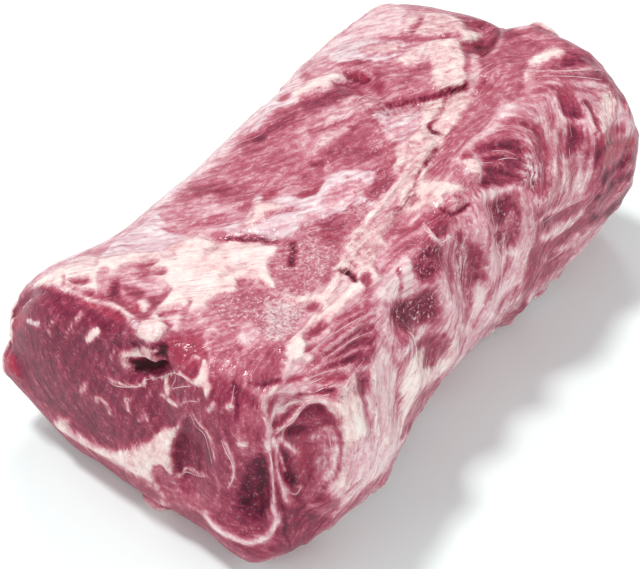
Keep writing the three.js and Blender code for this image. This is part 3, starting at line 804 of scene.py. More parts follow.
RIB_SIDE = (
    # the far end's bands, from the top edge down
    patch("far cream", T.FAT, 0.6, "528,60 538,52 552,47 564,50 556,57 534,64"),
    patch("far red band", T.DEEP_RED_AND_SHADE, -0.5, "544,65 560,59 575,53 590,57 602,65 585,67 565,68", strength=0.5),
    streak("far white band", T.FAT, 2.0, 0.7, "522,72 534,70 546,71 580,70 600,71", strength=0.65),
    streak("far second red", T.DEEP_RED_AND_SHADE, 2.6, -0.6, "532,76 576,75 604,79", strength=0.3),
    streak("far pale band", T.PINK, 2.0, 0.4, "524,82 566,80 602,84"),
    streak("far third red", T.LEAN, 2.4, -0.4, "536,86 576,86 592,90"),
    patch("far upper pale", T.PINK, 0.3, "522,90 545,88 560,92 560,112 552,128 540,118 520,116 508,112",
          strength=0.55),
    patch("granular flesh", T.LEAN, 0.0, "478,66 500,56 522,60 524,80 512,98 496,88 480,84", strength=1.2),
    patch("granular chunk", T.FAT, 0.8, "520,71 528,67 536,71 534,80 524,80", strength=0.6),
    # the window of dark muscle under its arcs
    patch("fan of arcs", T.LEAN, -0.2, "470,142 484,130 500,121 520,119 538,126 545,140 549,160 548,186 "
          "540,196 520,190 486,190 478,176 476,160"),
    patch("window 1", T.DEEP_RED_AND_SHADE, -1.6, "474,148 486,141 502,137 516,140 525,148 524,162 519,176 508,185 "
          "494,188 484,184 482,168 478,156", strength=0.6),
    patch("window 1's foot", T.DEEP_RED_AND_SHADE, -0.6, "484,168 500,172 520,168 518,180 504,186 488,186", strength=0.5),
    *streaks("arc", T.PINK,
             (1.6, 0.9, "468,143 482,136 498,131 514,131 527,137 533,148"),
             (1.4, 0.8, "484,134 500,126 516,125 531,130 539,140"),
             (1.2, 0.6, "480,150 496,149 512,152 524,158", 0.5),
             (1.2, 0.6, "484,161 500,160 514,163 522,168", 0.4)),
    streak("arc 5", T.BRIGHT, 1.6, -0.6, "488,133 504,129 518,129 530,135", strength=0.6),
    streak("arc 6", T.DEEP_RED_AND_SHADE, 1.6, -0.6, "504,120 520,120 534,125 541,136", strength=0.5),
    patch("grey ring", T.GREY, 0.2, "524,152 534,148 542,158 545,174 541,188 530,192 521,186 521,170"),
    streak("red ring", T.BRIGHT, 3.0, -0.6, "541,126 547,142 550,160 549,178 544,192", strength=0.8),
    streak("pale ring 1", T.FAT, 3.0, 1.0, "548,122 555,138 558,156 557,176 550,194 540,208", strength=0.8),
    streak("red ring 2", T.LEAN, 1.8, -0.4, "556,118 563,140 565,162 562,184 552,202"),
    streak("pale ring 2", T.FAT, 3.4, 0.8, "562,122 569,142 567,184 556,204 544,216", strength=0.9),
    streak("pale ring 3", T.PINK, 5.0, 0.5, "580,158 582,176 574,194 560,208", strength=0.75),
    streak("pale ring 4", T.PINK, 4.0, 0.4, "590,110 594,154 590,178 580,196"),
    streak("red ring 3", T.LEAN, 1.8, -0.4, "574,164 574,182 564,198 550,210", strength=0.8),
    streak("grey line 1", T.GREY, 1.6, -0.4, "584,128 590,144 586,160 580,170"),
    streak("grey line 2", T.GREY, 1.6, -0.4, "594,140 598,156 598,172 592,190"),
    patch("window 4", T.DEEP_RED_AND_SHADE, -1.2, "562,95 568,89 575,95 580,105 585,112 581,119 573,117 565,110",
          strength=0.45),
    patch("window 4's red", T.BRIGHT, -0.4, "560,90 568,86 574,92 566,98", strength=0.7),
    patch("window 5", T.DEEP_RED_AND_SHADE, -1.0, "568,130 574,124 580,128 582,140 578,152 571,157 567,145",
          strength=0.55),
    patch("far lump", T.FAT, 1.4, "598,92 603,84 612,81 617,90 619,104 616,120 608,134 602,137 597,126",
          soft=4.0, strength=0.7),
    patch("far lump 2", T.PINK, 0.6, "587,92 596,91 597,104 592,108 587,101", strength=0.5),
    # painted shade in the crease
    streak("far lump's crease", T.DEEP_RED_AND_SHADE, 1.2, -1.4, "586,101 592,108 598,128 596,134", soft=2.4),
    streak("far rim", T.PINK, 3.0, 0.4, "617,92 624,108 632,136", strength=0.8),
    patch("far end flesh", T.DEEP_RED_AND_SHADE, -0.2, "598,142 606,134 620,140 634,140 639,158 634,186 624,206 606,220 "
          "590,226 596,206 602,182 597,160", strength=0.85),
    streak("far end red 1", T.BRIGHT, 5.0, -0.3, "604,142 620,128", strength=0.75),
    streak("far end red 2", T.BRIGHT, 6.0, -0.3, "612,154 622,147 636,142", strength=1.0),
    patch("far end's top flesh", T.LEAN, -0.3, "600,62 618,80 630,100 622,104 608,88 594,74",
          strength=0.75, soft=5.0),
    patch("far end's deep red", T.BRIGHT, -0.2, "604,160 612,150 626,144 634,150 628,162 612,170 604,170",
          strength=0.85),
    patch("far end's low flesh", T.DEEP_RED_AND_SHADE, 0.0, "600,196 620,186 634,180 628,200 610,216 598,218",
          strength=0.8),
    streak("far end red 3", T.BRIGHT, 3.0, -0.3, "602,206 624,188", strength=0.7),
    *streaks("far end pale", T.PINK,
             (1.4, 0.5, "600,178 614,164 634,150", 0.35), (1.4, 0.5, "604,192 618,178 634,166", 0.6),
             (2.0, 0.4, "600,214 616,202 630,184", 0.6)),
    # the red muscle below them, with its white streaks
    patch("streaked flesh", T.LEAN, -0.3, "536,236 548,218 566,204 584,196 596,208 586,232 566,262 "
          "544,284 524,298 520,286 528,262"),
    streak("flesh red 1", T.BRIGHT, 2.0, -0.4, "538,232 576,208", strength=0.5),
    streak("flesh red 2", T.BRIGHT, 3.6, -0.5, "543,252 576,235 584,226", strength=0.8),
    patch("flesh by the last belly", T.LEAN, -0.3, "506,322 516,308 528,300 528,312 516,322",
          strength=0.9, soft=4.0),
    patch("dull fat by the last window", T.LEAN, 0.0, "540,206 556,220 572,226 560,236 544,240 534,224",
          strength=0.5, soft=5.0),
    *streaks("flesh white", T.PINK,
             (3.4, 0.9, "547,240 584,214", 1.0, 3.0),
             (2.6, 0.8, "548,262 560,253 572,246 580,238", 1.0, 3.0),
             (1.6, 0.7, "544,222 558,212 586,198", 1.0, 3.0), (1.8, 0.6, "534,276 562,258", 0.4)),
    streak("flesh shade", T.DEEP_RED_AND_SHADE, 3.0, -0.5, "532,246 534,262 528,278", strength=0.5),
    streak("low flesh", T.LEAN, 6.0, -0.4, "536,286 556,258", strength=1.0),
    # long pale bands that run down to the floor
    patch("pale foot", T.PINK, 0.3, "476,200 520,190 536,200 536,236 528,264 518,304 500,318 470,336 "
          "462,320 474,290 482,262 484,236", strength=1.0),
    patch("pale belt under window 1", T.PINK, 0.6, "484,192 500,188 520,186 526,192 512,196 494,199"),
    # dark windows sprinkled with painted white glint specks
    patch("window 2", T.DEEP_WITH_GLINTS, -1.2, "489,202 502,197 519,193 514,203 513,214 509,224 502,228 495,222 "
          "492,211", strength=0.8),
    patch("window 2's side", T.DEEP_WITH_GLINTS, -0.8, "510,204 520,200 524,216 520,240 514,250 511,232 515,216",
          strength=0.5),
    patch("window 3", T.GREY, -0.8, "496,236 503,229 511,231 516,230 516,241 510,250 502,252"),
    streak("window 3's ring", T.DEEP_RED_AND_SHADE, 1.0, -0.8, "498,236 501,233 504,236 501,239", soft=1.8),
    *streaks("long fat", T.FAT,
             (4.6, 1.0, "524,198 530,212 533,228 530,248 521,288 514,306", 0.6),
             (4.4, 0.8, "480,204 487,218 490,238 486,280 478,302", 0.35),
             (3.0, 0.6, "500,258 499,276 492,294", 0.85)),
    *streaks("long red", T.LEAN,
             (2.4, -0.6, "512,260 508,274 488,300"), (1.8, -0.5, "518,290 508,300 500,312"),
             (1.8, -0.5, "494,296 476,326", 0.8)),
    patch("grey muscle", T.GREY, 0.0, "455,238 465,230 473,240 476,262 472,282 462,282 455,264"),
    patch("window 7", T.DEEP_RED_AND_SHADE, -1.0, "473,262 477,246 482,258 483,276 479,288 473,290", strength=0.4),
    streak("window 7's edge", T.BRIGHT, 1.6, -0.2, "474,240 481,270 478,288", strength=0.7),
    patch("pale by window 7", T.PINK, 0.3, "468,226 478,228 476,244 468,240", strength=0.6),
    patch("pale under window 7", T.PINK, 0.3, "470,296 480,284 488,296 480,316 470,314", strength=1.05),
    streak("grey's strands", T.PINK, 2.4, 0.6, "444,284 450,302 450,320 446,336"),
    streak("grey's strands 2", T.FAT, 2.6, 0.5, "460,286 464,304 462,322 454,342", strength=0.7),
    streak("red between strands", T.LEAN, 1.6, -0.5, "471,292 472,306 466,322"),
    # the strip and the lumps above the bays
    patch("fat band to the strip", T.FAT, 0.8, "500,96 508,100 504,112 482,134 470,144 462,150 466,142 "
          "490,120 498,106", soft=3.6, strength=0.75),
    patch("fat beside the strip", T.PINK, 0.5, "508,102 520,104 508,116 484,134 492,124"),
    patch("lump bed", T.PINK, 0.5, "446,178 452,160 464,148 474,150 484,160 484,178 470,186 440,196 "
          "426,206 424,198"),
    patch("lump 3", T.FAT, 1.1, "462,164 469,157 479,160 484,170 480,178 470,177", soft=3.0, strength=0.75),
    patch("lump 4", T.FAT, 0.9, "450,172 456,162 462,168 464,178 455,180", soft=3.0, strength=0.45),
    patch("red by lump 3", T.BRIGHT, 0.5, "460,154 465,149 472,152 472,158 464,160", soft=2.4, strength=0.5),
    patch("red between the lumps", T.PINK, -0.4, "442,186 458,176 478,180 482,188 468,194 450,193",
          strength=0.3),
    patch("lump 2", T.FAT, 1.1, "446,199 453,194 462,194 467,198 464,205 454,207", soft=2.6, strength=0.5),
    patch("lump 5", T.FAT, 0.9, "428,202 436,195 444,198 443,206 434,209", soft=2.6, strength=0.7),
    # painted shade under the lumps
    streak("under the lumps", T.CLEFT_SHADE, 1.6, -1.8, "441,207 449,211 456,212 463,209 470,203",
           soft=2.0, strength=0.6),
    patch("high flesh", T.LEAN, -0.3, "398,236 406,228 424,219 446,214 458,220 452,234 440,240 424,240 "
          "406,246", soft=4.0, strength=0.6),
    streak("high flesh's red", T.BRIGHT, 2.6, -0.4, "404,230 424,221 444,217", strength=0.6),
    streak("high flesh's pale", T.PINK, 1.6, 0.5, "400,240 412,232 426,228"),
    streak("sinew", T.FAT, 1.2, 0.8, "423,224 436,239 442,244", soft=2.0, strength=0.6),
    streak("sinew's foot", T.FAT, 1.6, 0.6, "441,244 446,239 453,236", soft=2.0, strength=0.6),
    streak("sinew's tag", T.FAT, 2.4, 1.5, "433,235 441,244", soft=1.8, strength=0.9),
    # dark window with painted white glint specks
    patch("window 6", T.DEEP_WITH_GLINTS, -1.4, "423,246 434,241 445,246 446,256 443,270 434,280 420,281 412,270",
          soft=4.0, strength=0.8),
    streak("window 6's shelf", T.BRIGHT, 1.6, 0.6, "414,258 426,261 442,258", strength=0.5),
    patch("shelf fat", T.PINK, 0.9, "398,270 405,258 412,262 417,274 421,286 411,292 402,288",
          soft=3.0, strength=0.9),
    patch("shelf fat 2", T.PINK, 0.7, "376,290 384,278 395,274 400,284 398,296 386,300",
          soft=3.0, strength=1.05),
    streak("shelf's line", T.LEAN, 1.2, -0.8, "398,268 402,280 402,292", soft=2.4),
    # dark window with painted white glint specks, thickest in the patch after it
    patch("window 8", T.DEEP_WITH_GLINTS, -1.6, "396,308 404,300 418,298 430,291 438,298 441,312 436,322 424,325 "
          "412,332 404,326", soft=4.0, strength=0.8),
    patch("window 8's grit", T.DEEP_WITH_GLINTS, 0.0, "400,310 412,302 424,304 420,318 408,324", strength=1.0),
    patch("window 9", T.DEEP_RED_AND_SHADE, -1.0, "418,352 425,341 436,335 440,345 436,355 428,350",
          strength=0.55, soft=4.0),
    patch("grey by window 9", T.SILVER, 0.3, "404,340 414,334 420,340 414,352 408,366 402,360",
          strength=0.6),
    # the near half: pale bands with red between them
    patch("broad pale fat", T.FAT, 0.8, "440,330 452,338 456,352 446,370 418,398 408,420 400,448 392,450 "
          "396,420 402,392 408,368 418,360 432,356", strength=0.95),
    patch("pale fat by the bands", T.FAT, 0.5, "404,372 416,356 430,350 434,364 420,384 410,404 404,436 "
          "396,440 398,400", strength=1.0),
    patch("dull fat over the far edge", T.LEAN, -0.4, "428,352 440,334 450,338 446,354 434,366 424,366",
          soft=4.0, strength=0.45),
    patch("mottled bands", T.PINK, 0.3, "372,352 398,350 402,372 398,420 392,462 376,480 372,440 368,400 "
          "372,372", strength=1.0),
    streak("band red 1", T.LEAN, 1.6, -0.6, "362,392 371,420 373,440", soft=4.0),
    streak("band red 2", T.LEAN, 1.8, -0.5, "393,350 398,364 400,384 393,424"),
    streak("band red 3", T.DEEP_RED_AND_SHADE, 2.0, -0.8, "396,314 404,344", strength=0.6),
    streak("band pale 1", T.FAT, 3.6, 0.8, "389,372 390,418 388,444", strength=0.85),
    streak("band pale 2", T.FAT, 3.0, 0.6, "377,366 377,388 380,436", strength=0.9),
    patch("orange streaks", T.PINK, 0.3, "372,302 386,304 392,318 390,340 378,334 370,318", strength=0.75),
    patch("red window", T.LEAN, -0.6, "356,374 362,369 369,372 370,385 368,396 360,394", soft=3.0),
    patch("pale knob", T.FAT, 1.2, "344,370 350,364 357,367 358,378 355,388 348,394 341,390 341,378",
          strength=0.8, soft=3.0),
    # the ridge of fat along the top edge, and its seam down the front corner
    patch("rib line fat", T.FAT, 1.0, "318,312 322,320 306,340 296,350 300,358 292,366 290,380 284,390 "
          "266,400 269,432 272,447 267,448 263,436 260,420 260,402 264,392 272,385 281,383 283,370 "
          "285,358 281,351 288,342 306,322 310,314", soft=3.0, strength=0.85),
    # paler flesh with painted white glint specks
    patch("fan bed", T.GLINT, -0.2, "300,356 316,340 356,306 372,300 380,316 380,336 372,352 356,366 "
          "344,380 320,390 290,390 288,378", strength=0.55),
    patch("fat pile", T.FAT, 0.8, "284,350 296,342 306,342 304,352 312,352 310,362 292,358",
          soft=2.6, strength=1.0),
    patch("fan's root fold", T.PINK, 0.5, "276,392 292,384 308,380 318,384 306,390 290,396",
          strength=0.8, soft=3.0),
    patch("fan's pale root", T.PINK, 0.3, "286,366 298,362 308,366 302,376 288,378", strength=0.9),
    patch("fan's pale top", T.PINK, 0.3, "306,336 318,328 332,326 332,336 316,344", strength=0.8),
    patch("fan's dull end", T.LEAN, -0.3, "346,354 360,348 376,344 380,356 366,366 350,364",
          strength=1.0, soft=4.0),
    patch("first red furrow", T.BRIGHT, -1.4, "304,341 309,329 318,320 331,318 314,336",
          soft=2.6, strength=0.3),
    # painted shade and deeper red in the fan's grooves
    *streaks("fan dark", T.DEEP_RED_AND_SHADE,
             (1.8, -1.2, "312,350 346,326 360,318", 0.55, 3.0),
             (1.6, -1.4, "330,352 358,332 374,324", 0.4, 3.0),
             (3.0, -1.4, "334,362 348,352 374,338", 0.8, 3.0)),
    patch("fan's hollow", T.DEEP_RED_AND_SHADE, -0.8, "350,340 360,331 373,326 377,338 362,350 350,350",
          strength=0.5, soft=4.0),
    streak("fan dark 4", T.DEEP_RED_AND_SHADE, 2.0, -1.2, "318,376 332,366 358,356", soft=3.0, strength=0.65),
    streak("fan dark 5", T.BRIGHT, 2.4, -0.8, "290,381 308,378 326,378 346,376", strength=0.6, soft=3.0),
    streak("fan dark 6", T.BRIGHT, 1.6, -0.8, "338,322 352,312 368,304", strength=0.5, soft=3.0),
    *streaks("fan strand", T.PINK,
             (0.9, 0.9, "300,360 338,331 374,311", 0.85, 2.4),
             (0.9, 0.9, "326,348 358,326 376,318", 0.85, 2.4),
             (0.9, 0.9, "324,359 356,338 374,331", 0.85, 2.4),
             (0.9, 0.9, "312,371 328,362 372,345", 0.85, 2.4),
             (0.9, 0.9, "306,380 322,373 352,365", 0.85, 2.4)),
    streak("fan strand 6", T.FAT, 1.2, 1.0, "284,391 314,392 324,388 340,384", soft=2.2, strength=0.7),
    streak("fan strand 8", T.PINK, 0.9, 0.6, "334,328 350,316 366,307", soft=2.4, strength=0.7),
    # painted shade in the groove
    streak("fan groove", T.CLEFT_SHADE, 1.0, -1.4, "300,396 314,396 324,391 334,389", strength=0.7, soft=2.0),
    # the whorl on the front corner, with its pad of fat
    patch("whorl bed", T.LEAN, -0.6, "270,400 290,398 312,398 330,404 338,420 340,450 338,474 326,490 "
          "308,496 296,474 280,450 270,425", soft=3.6),
    patch("whorl core", T.PINK, 0.5, "314,438 326,428 337,434 337,454 331,472 320,486 312,482 315,464 "
          "313,450", soft=3.6, strength=0.35),
    patch("whorl core's grey", T.SILVER, 0.3, "316,456 326,450 330,464 322,478 315,474",
          soft=3.0, strength=0.4),
    patch("whorl core's pale edge", T.PINK, 0.3, "334,448 342,452 342,470 334,484 322,490 322,482 330,468",
          strength=0.95, soft=3.0),
    patch("whorl red", T.BRIGHT, -0.8, "299,440 311,438 314,454 311,472 308,490 301,480 297,458",
          soft=3.0, strength=0.45),
    # painted shade in the whorl's ring groove
    streak("whorl ring 1", T.DEEP_RED_AND_SHADE, 1.6, -1.2, "306,436 316,426 328,423 339,430 342,448 339,468 330,484 "
           "318,494", soft=2.4, strength=0.35),
    streak("whorl ring 2", T.FAT, 1.6, 1.0, "310,444 318,434 328,430 334,440", soft=2.4, strength=0.6),
    # painted shade in the whorl's hollows
    patch("whorl dark 1", T.CLEFT_SHADE, -2.6, "272,428 275,414 282,402 286,408 281,420 284,427",
          soft=2.4, strength=0.35),
    patch("whorl dark 2", T.CLEFT_SHADE, -2.4, "298,418 308,407 318,404 328,410 331,416 318,418 306,423",
          soft=2.4, strength=0.28),
    patch("whorl's pale top", T.PINK, 0.5, "302,398 318,396 334,400 336,410 322,406 308,406",
          soft=3.0, strength=1.2),
    patch("whorl's pale shoulder", T.FAT, 0.6, "318,402 330,400 340,408 338,418 328,414",
          strength=0.7, soft=3.0),
    # painted shade in two more of the whorl's hollows
    patch("whorl dark 3", T.CLEFT_SHADE, -2.6, "288,434 300,427 306,432 297,439", soft=2.4, strength=0.55),
    patch("whorl dark 4", T.CLEFT_SHADE, -2.2, "282,450 290,456 298,474 302,490 308,508 298,502 287,480",
          soft=2.6, strength=0.55),
    streak("whorl strand 1", T.FAT, 2.0, 1.6, "279,432 296,418 302,408 312,401 326,401", soft=2.4),
    streak("whorl strand 2", T.FAT, 1.6, 1.2, "284,412 290,404 298,402", soft=2.4),
    patch("seam's pale fat", T.PINK, 0.6, "262,430 270,418 278,404 286,398 284,410 276,424 268,436",
          soft=3.0, strength=0.95),
    streak("whorl strand 3", T.PINK, 2.0, 1.0, "284,440 298,454", soft=2.4),
    streak("whorl strand 4", T.PINK, 1.6, 0.8, "276,440 290,474", soft=2.4),
    streak("whorl tag", T.FAT, 1.8, 1.4, "291,493 297,493 301,487", soft=2.0),
    patch("fat pad", T.FAT, 1.6, "333,402 341,392 351,390 360,396 365,408 372,442 376,458 368,476 340,504 "
          "326,513 312,508 302,495 300,488 310,496 322,498 333,488 341,472 344,454 342,432 338,416",
          soft=4.0, strength=0.82),
    # painted shade in the slit
    streak("fat pad's slit", T.DEEP_RED_AND_SHADE, 1.2, -1.4, "338,502 362,480", strength=0.7, soft=2.2),
    streak("fat pad's low blush", T.PINK, 7.0, 0.0, "312,500 324,503 338,496", strength=0.85),
    patch("foot flesh under the pad", T.LEAN, -0.2, "292,490 310,490 330,496 344,502 334,514 312,506 "
          "294,500", soft=3.5, strength=0.55),
    patch("fat pad's side blush", T.PINK, 0.0, "352,446 368,440 374,458 366,474 352,484 346,470",
          strength=0.75),
    patch("foot of the pad", T.PINK, 0.2, "372,462 392,452 408,424 420,408 424,420 400,452 372,486 "
          "346,508 344,500 362,484"),
    # red strips along the floor
    streak("low red 1", T.LEAN, 3.0, -0.4, "408,430 416,412 442,384"),
    streak("low red 2", T.LEAN, 3.0, -0.4, "338,524 352,510 384,482"),
    streak("low red 3", T.DEEP_RED_AND_SHADE, 1.4, -0.6, "404,438 426,410", strength=0.6, soft=3.0),
    *streaks("front seam strand", T.PINK,
             (2.2, 1.0, "268,446 272,464 274,504 280,522", 1.0, 2.6),
             (1.8, 0.9, "276,458 284,492 292,512", 0.8, 2.6),
             (1.4, 0.7, "264,452 268,474 270,498 276,520", 1.0, 2.6)),
    # painted shade in the seam's grooves
    streak("front seam groove 1", T.DEEP_RED_AND_SHADE, 1.4, -1.2, "274,452 279,496 286,516", strength=0.8, soft=2.4),
    streak("front seam groove 2", T.DEEP_RED_AND_SHADE, 1.6, -1.2, "266,456 269,506", strength=0.6, soft=2.4),
    patch("front foot flesh", T.DEEP_RED_AND_SHADE, 0.0, "288,508 306,510 330,518 316,534 292,548 276,534 280,522",
          strength=0.4),
)


def strewn(
    chart: Chart, tissue: Tissue, count: int, seed: int, box: Box, width: float, length: float
) -> tuple[Daub, ...]:
    """Strew wavy streaks over a box on a hidden side.

    Args:
        chart: The side.
        tissue: What the streaks are.
        count: How many there are.
        seed: Which of the many ways to strew them.
        box: The lowest and the highest place of a streak's middle, in the side's two coordinates.
        width: The widest that a streak is, in millimetres.
        length: The longest that it is.

    Returns:
        The streaks.
    """
    draw = np.random.default_rng(seed)
    streaks = []
    for _ in range(count):
        middle = draw.uniform(box[0], box[1])
        reach = draw.uniform(0.35, 1.0) * length / 2
        slope = draw.normal(0.12, 0.22)
        along = np.array([math.cos(slope), math.sin(slope)]) * reach
        sway = draw.normal(0.0, 0.12, (3, 2)) * reach
        path = tuple(tuple(middle + along * at + sway[step]) for step, at in enumerate((-1.0, 0.0, 1.0)))
        thick = width * draw.uniform(0.35, 1.0)
        streaks.append(Daub("strewn", tissue, path, thick, 0.25 * thick, draw.uniform(0.6, 1.0), chart=chart))
    return tuple(streaks)


CAP_SIDE = tuple(
    replace(daub, chart=Chart.CAP)
    for daub in (
        patch("cap's shade", T.DEEP_RED_AND_SHADE, 0.0, "-176,50 -120,44 -60,50 10,40 80,46 176,40 176,0 -176,0",
              strength=0.2, soft=20.0),
        patch("cap's silverskin", T.SILVER, 0.5, "-172,104 -140,116 -96,112 -52,118 -16,108 18,112 34,98 "
              "22,84 -12,88 -30,74 -66,80 -92,70 -126,82 -154,76 -170,86"),
        patch("cap's low silverskin", T.SILVER, 0.4, "24,72 52,80 84,72 110,78 128,64 118,46 92,42 70,50 "
              "46,44 30,54", strength=0.85),
        patch("cap's fat cover", T.FAT, 1.3, "-168,68 -140,74 -118,62 -88,66 -60,56 -34,64 -8,56 6,40 "
              "-14,30 -40,36 -58,22 -90,26 -112,16 -144,24 -166,40"),
        patch("cap's far fat", T.FAT, 1.2, "56,112 86,104 110,114 140,106 164,92 170,70 156,58 134,66 "
              "120,84 92,86 70,94"),
        patch("cap's foot fat", T.FAT, 0.9, "20,30 50,36 82,28 112,34 140,26 150,12 110,8 70,12 34,14",
              strength=0.8),
        patch("cap's island", T.LEAN, -0.6, "-126,52 -108,58 -88,50 -84,38 -104,34 -122,40"),
        patch("cap's second island", T.LEAN, -0.6, "-40,54 -24,58 -12,48 -22,40 -36,44"),
        # paler muscle with painted white glint specks
        patch("cap's third island", T.GLINT, -0.4, "120,100 140,98 152,86 142,76 126,82"),
        patch("cap's window", T.DEEP_RED_AND_SHADE, -1.2, "38,100 50,98 56,86 48,78 38,84", strength=0.7),
        patch("cap's far window", T.DEEP_RED_AND_SHADE, -1.2, "132,50 150,48 158,36 144,30 130,38", strength=0.7),
        patch("cap's near window", T.DEEP_RED_AND_SHADE, -1.0, "-74,16 -54,14 -50,6 -76,6", strength=0.6),
        # painted shade in the cracks
        streak("cap's crack", T.CLEFT_SHADE, 1.6, -2.2, "-20,86 -4,80 10,82 24,76"),
        streak("cap's second crack", T.CLEFT_SHADE, 1.4, -1.8, "60,62 74,56 86,58"),
        streak("cap's crease", T.LEAN, 2.0, -1.0, "-160,56 -134,46 -112,48 -80,42 -52,46"),
        streak("cap's second crease", T.LEAN, 1.6, -0.8, "70,98 96,96 124,94 150,78"),
        streak("cap's red seam", T.BRIGHT, 2.4, -0.6, "-8,60 14,66 30,62 50,66", strength=0.7),
        patch("cap's red corner", T.BRIGHT, 0.0, "150,30 166,34 170,20 158,12", strength=0.5),
    )
)
CAP_SIDE += strewn(Chart.CAP, T.PINK, 34, 41, ((-165.0, 14.0), (165.0, 112.0)), 4.0, 70.0)
CAP_SIDE += strewn(Chart.CAP, T.FAT, 26, 42, ((-165.0, 10.0), (165.0, 108.0)), 2.2, 46.0)
CAP_SIDE += strewn(Chart.CAP, T.LEAN, 20, 43, ((-165.0, 10.0), (165.0, 108.0)), 1.8, 40.0)

FAR_END = tuple(
    replace(daub, chart=Chart.END)
    for daub in (
        patch("far eye", T.DEEP_RED_AND_SHADE, 0.0, "-16,88 4,104 34,110 66,102 86,82 88,56 74,34 46,20 14,20 -12,36 "
              "-22,60", strength=0.42),
        patch("far cap muscle", T.DEEP_RED_AND_SHADE, 0.0, "-34,92 -52,106 -76,102 -92,84 -96,56 -86,30 -64,16 -42,18 "
              "-32,40 -38,66", strength=0.36),
        patch("far top edge", T.BRIGHT, 0.0, "0,106 34,113 66,106 64,98 34,104 4,98", strength=0.5),
        streak("film round the far eye", T.FAT, 1.8, 0.6, "-24,60 -18,86 2,107 34,115 70,107 91,84 94,56 "
               "80,30 50,14"),
        patch("far wedge", T.FAT, 1.0, "-22,118 -8,112 -13,103 -20,98 -20,88 -27,78 -24,68 -30,58 -26,46 "
              "-20,40 -14,28 2,20 12,14 0,8 -18,13 -28,14 -33,26 -31,38 -38,50 -35,62 -37,76 -30,86 "
              "-32,100", strength=0.92),
        patch("far wedge's pink side", T.PINK, 0.6, "-30,84 -26,76 -28,60 -34,52 -36,64 -34,78",
              strength=0.7),
        streak("far wedge's flesh 1", T.PINK, 1.6, 0.4, "-31,100 -24,92 -26,82"),
        streak("far wedge's flesh 2", T.LEAN, 1.2, 0.0, "-20,34 -12,24 -2,16", strength=0.6),
        streak("far wedge's flesh 3", T.PINK, 1.4, 0.2, "-30,42 -27,28 -18,18"),
        patch("far low fat", T.FAT, 0.7, "-30,12 10,10 50,12 80,24 84,12 40,3 -20,3"),
        patch("far nub", T.FAT, 1.6, "-26,112 -14,116 -8,108 -16,100 -26,104"),
        # painted shade inside the far hole
        patch("far hole", T.CLEFT_SHADE, -2.2, "-15,95 -9,93 -4,88 -8,86 -12,88 -16,89", strength=0.75),
        patch("far dark muscle", T.DEEP_RED_AND_SHADE, -1.2, "-44,46 -34,52 -32,36 -42,26 -50,34", strength=0.9),
        patch("far rib fat", T.FAT, 1.0, "-92,96 -82,104 -86,88 -100,62 -98,40 -90,24 -98,28 -104,50 "
              "-102,78"),
        patch("far pale muscle", T.PINK, 0.2, "-62,86 -52,84 -46,92 -42,80 -48,76 -46,70 -56,74 -66,72",
              strength=0.42, soft=4.0),
        *streaks("far seam", T.FAT,
                 (1.0, 0.2, "-40,60 -54,66 -66,60 -78,64 -90,60", 1.0, 1.8),
                 (0.9, 0.2, "-46,92 -58,84 -72,82 -84,74", 1.0, 1.8),
                 (0.9, 0.2, "-40,30 -56,34 -68,28 -80,30", 1.0, 1.8),
                 (1.0, 0.2, "-20,70 -4,66 8,70 22,64", 1.0, 1.8), (0.8, 0.1, "8,70 12,82 22,90", 0.7, 1.8)),
        *streaks("far fleck", T.FAT,
                 (1.7, 0.1, "44,86 49,83 51,78", 0.85, 2.2), (1.5, 0.1, "26,40 31,43 37,42", 0.85, 2.2),
                 (0.9, 0.1, "60,62 64,56", 0.7, 1.8)),
    )
)
FAR_END += strewn(Chart.END, T.FAT, 30, 51, ((-88.0, 22.0), (82.0, 102.0)), 1.6, 9.0)
UNDERSIDE = strewn(Chart.UNDER, T.FAT, 24, 61, ((-150.0, -80.0), (150.0, 80.0)), 14.0, 90.0)
UNDERSIDE += strewn(Chart.UNDER, T.SILVER, 16, 62, ((-150.0, -80.0), (150.0, 80.0)), 18.0, 100.0)

# how softly the daubs of each side fade, in millimetres
COATS = ((5.0, RIB_SIDE), (3.6, TOP_FACE), (4.0, CAP_SIDE), (4.0, UNDERSIDE), (2.6, CUT_FACE), (2.6, FAR_END))


@dataclass(frozen=True)
class Comb:
    """A path in the photograph, as trace reads it, along which the fibres near it run."""

    path: str
    reach: float = 16.0  # millimetres


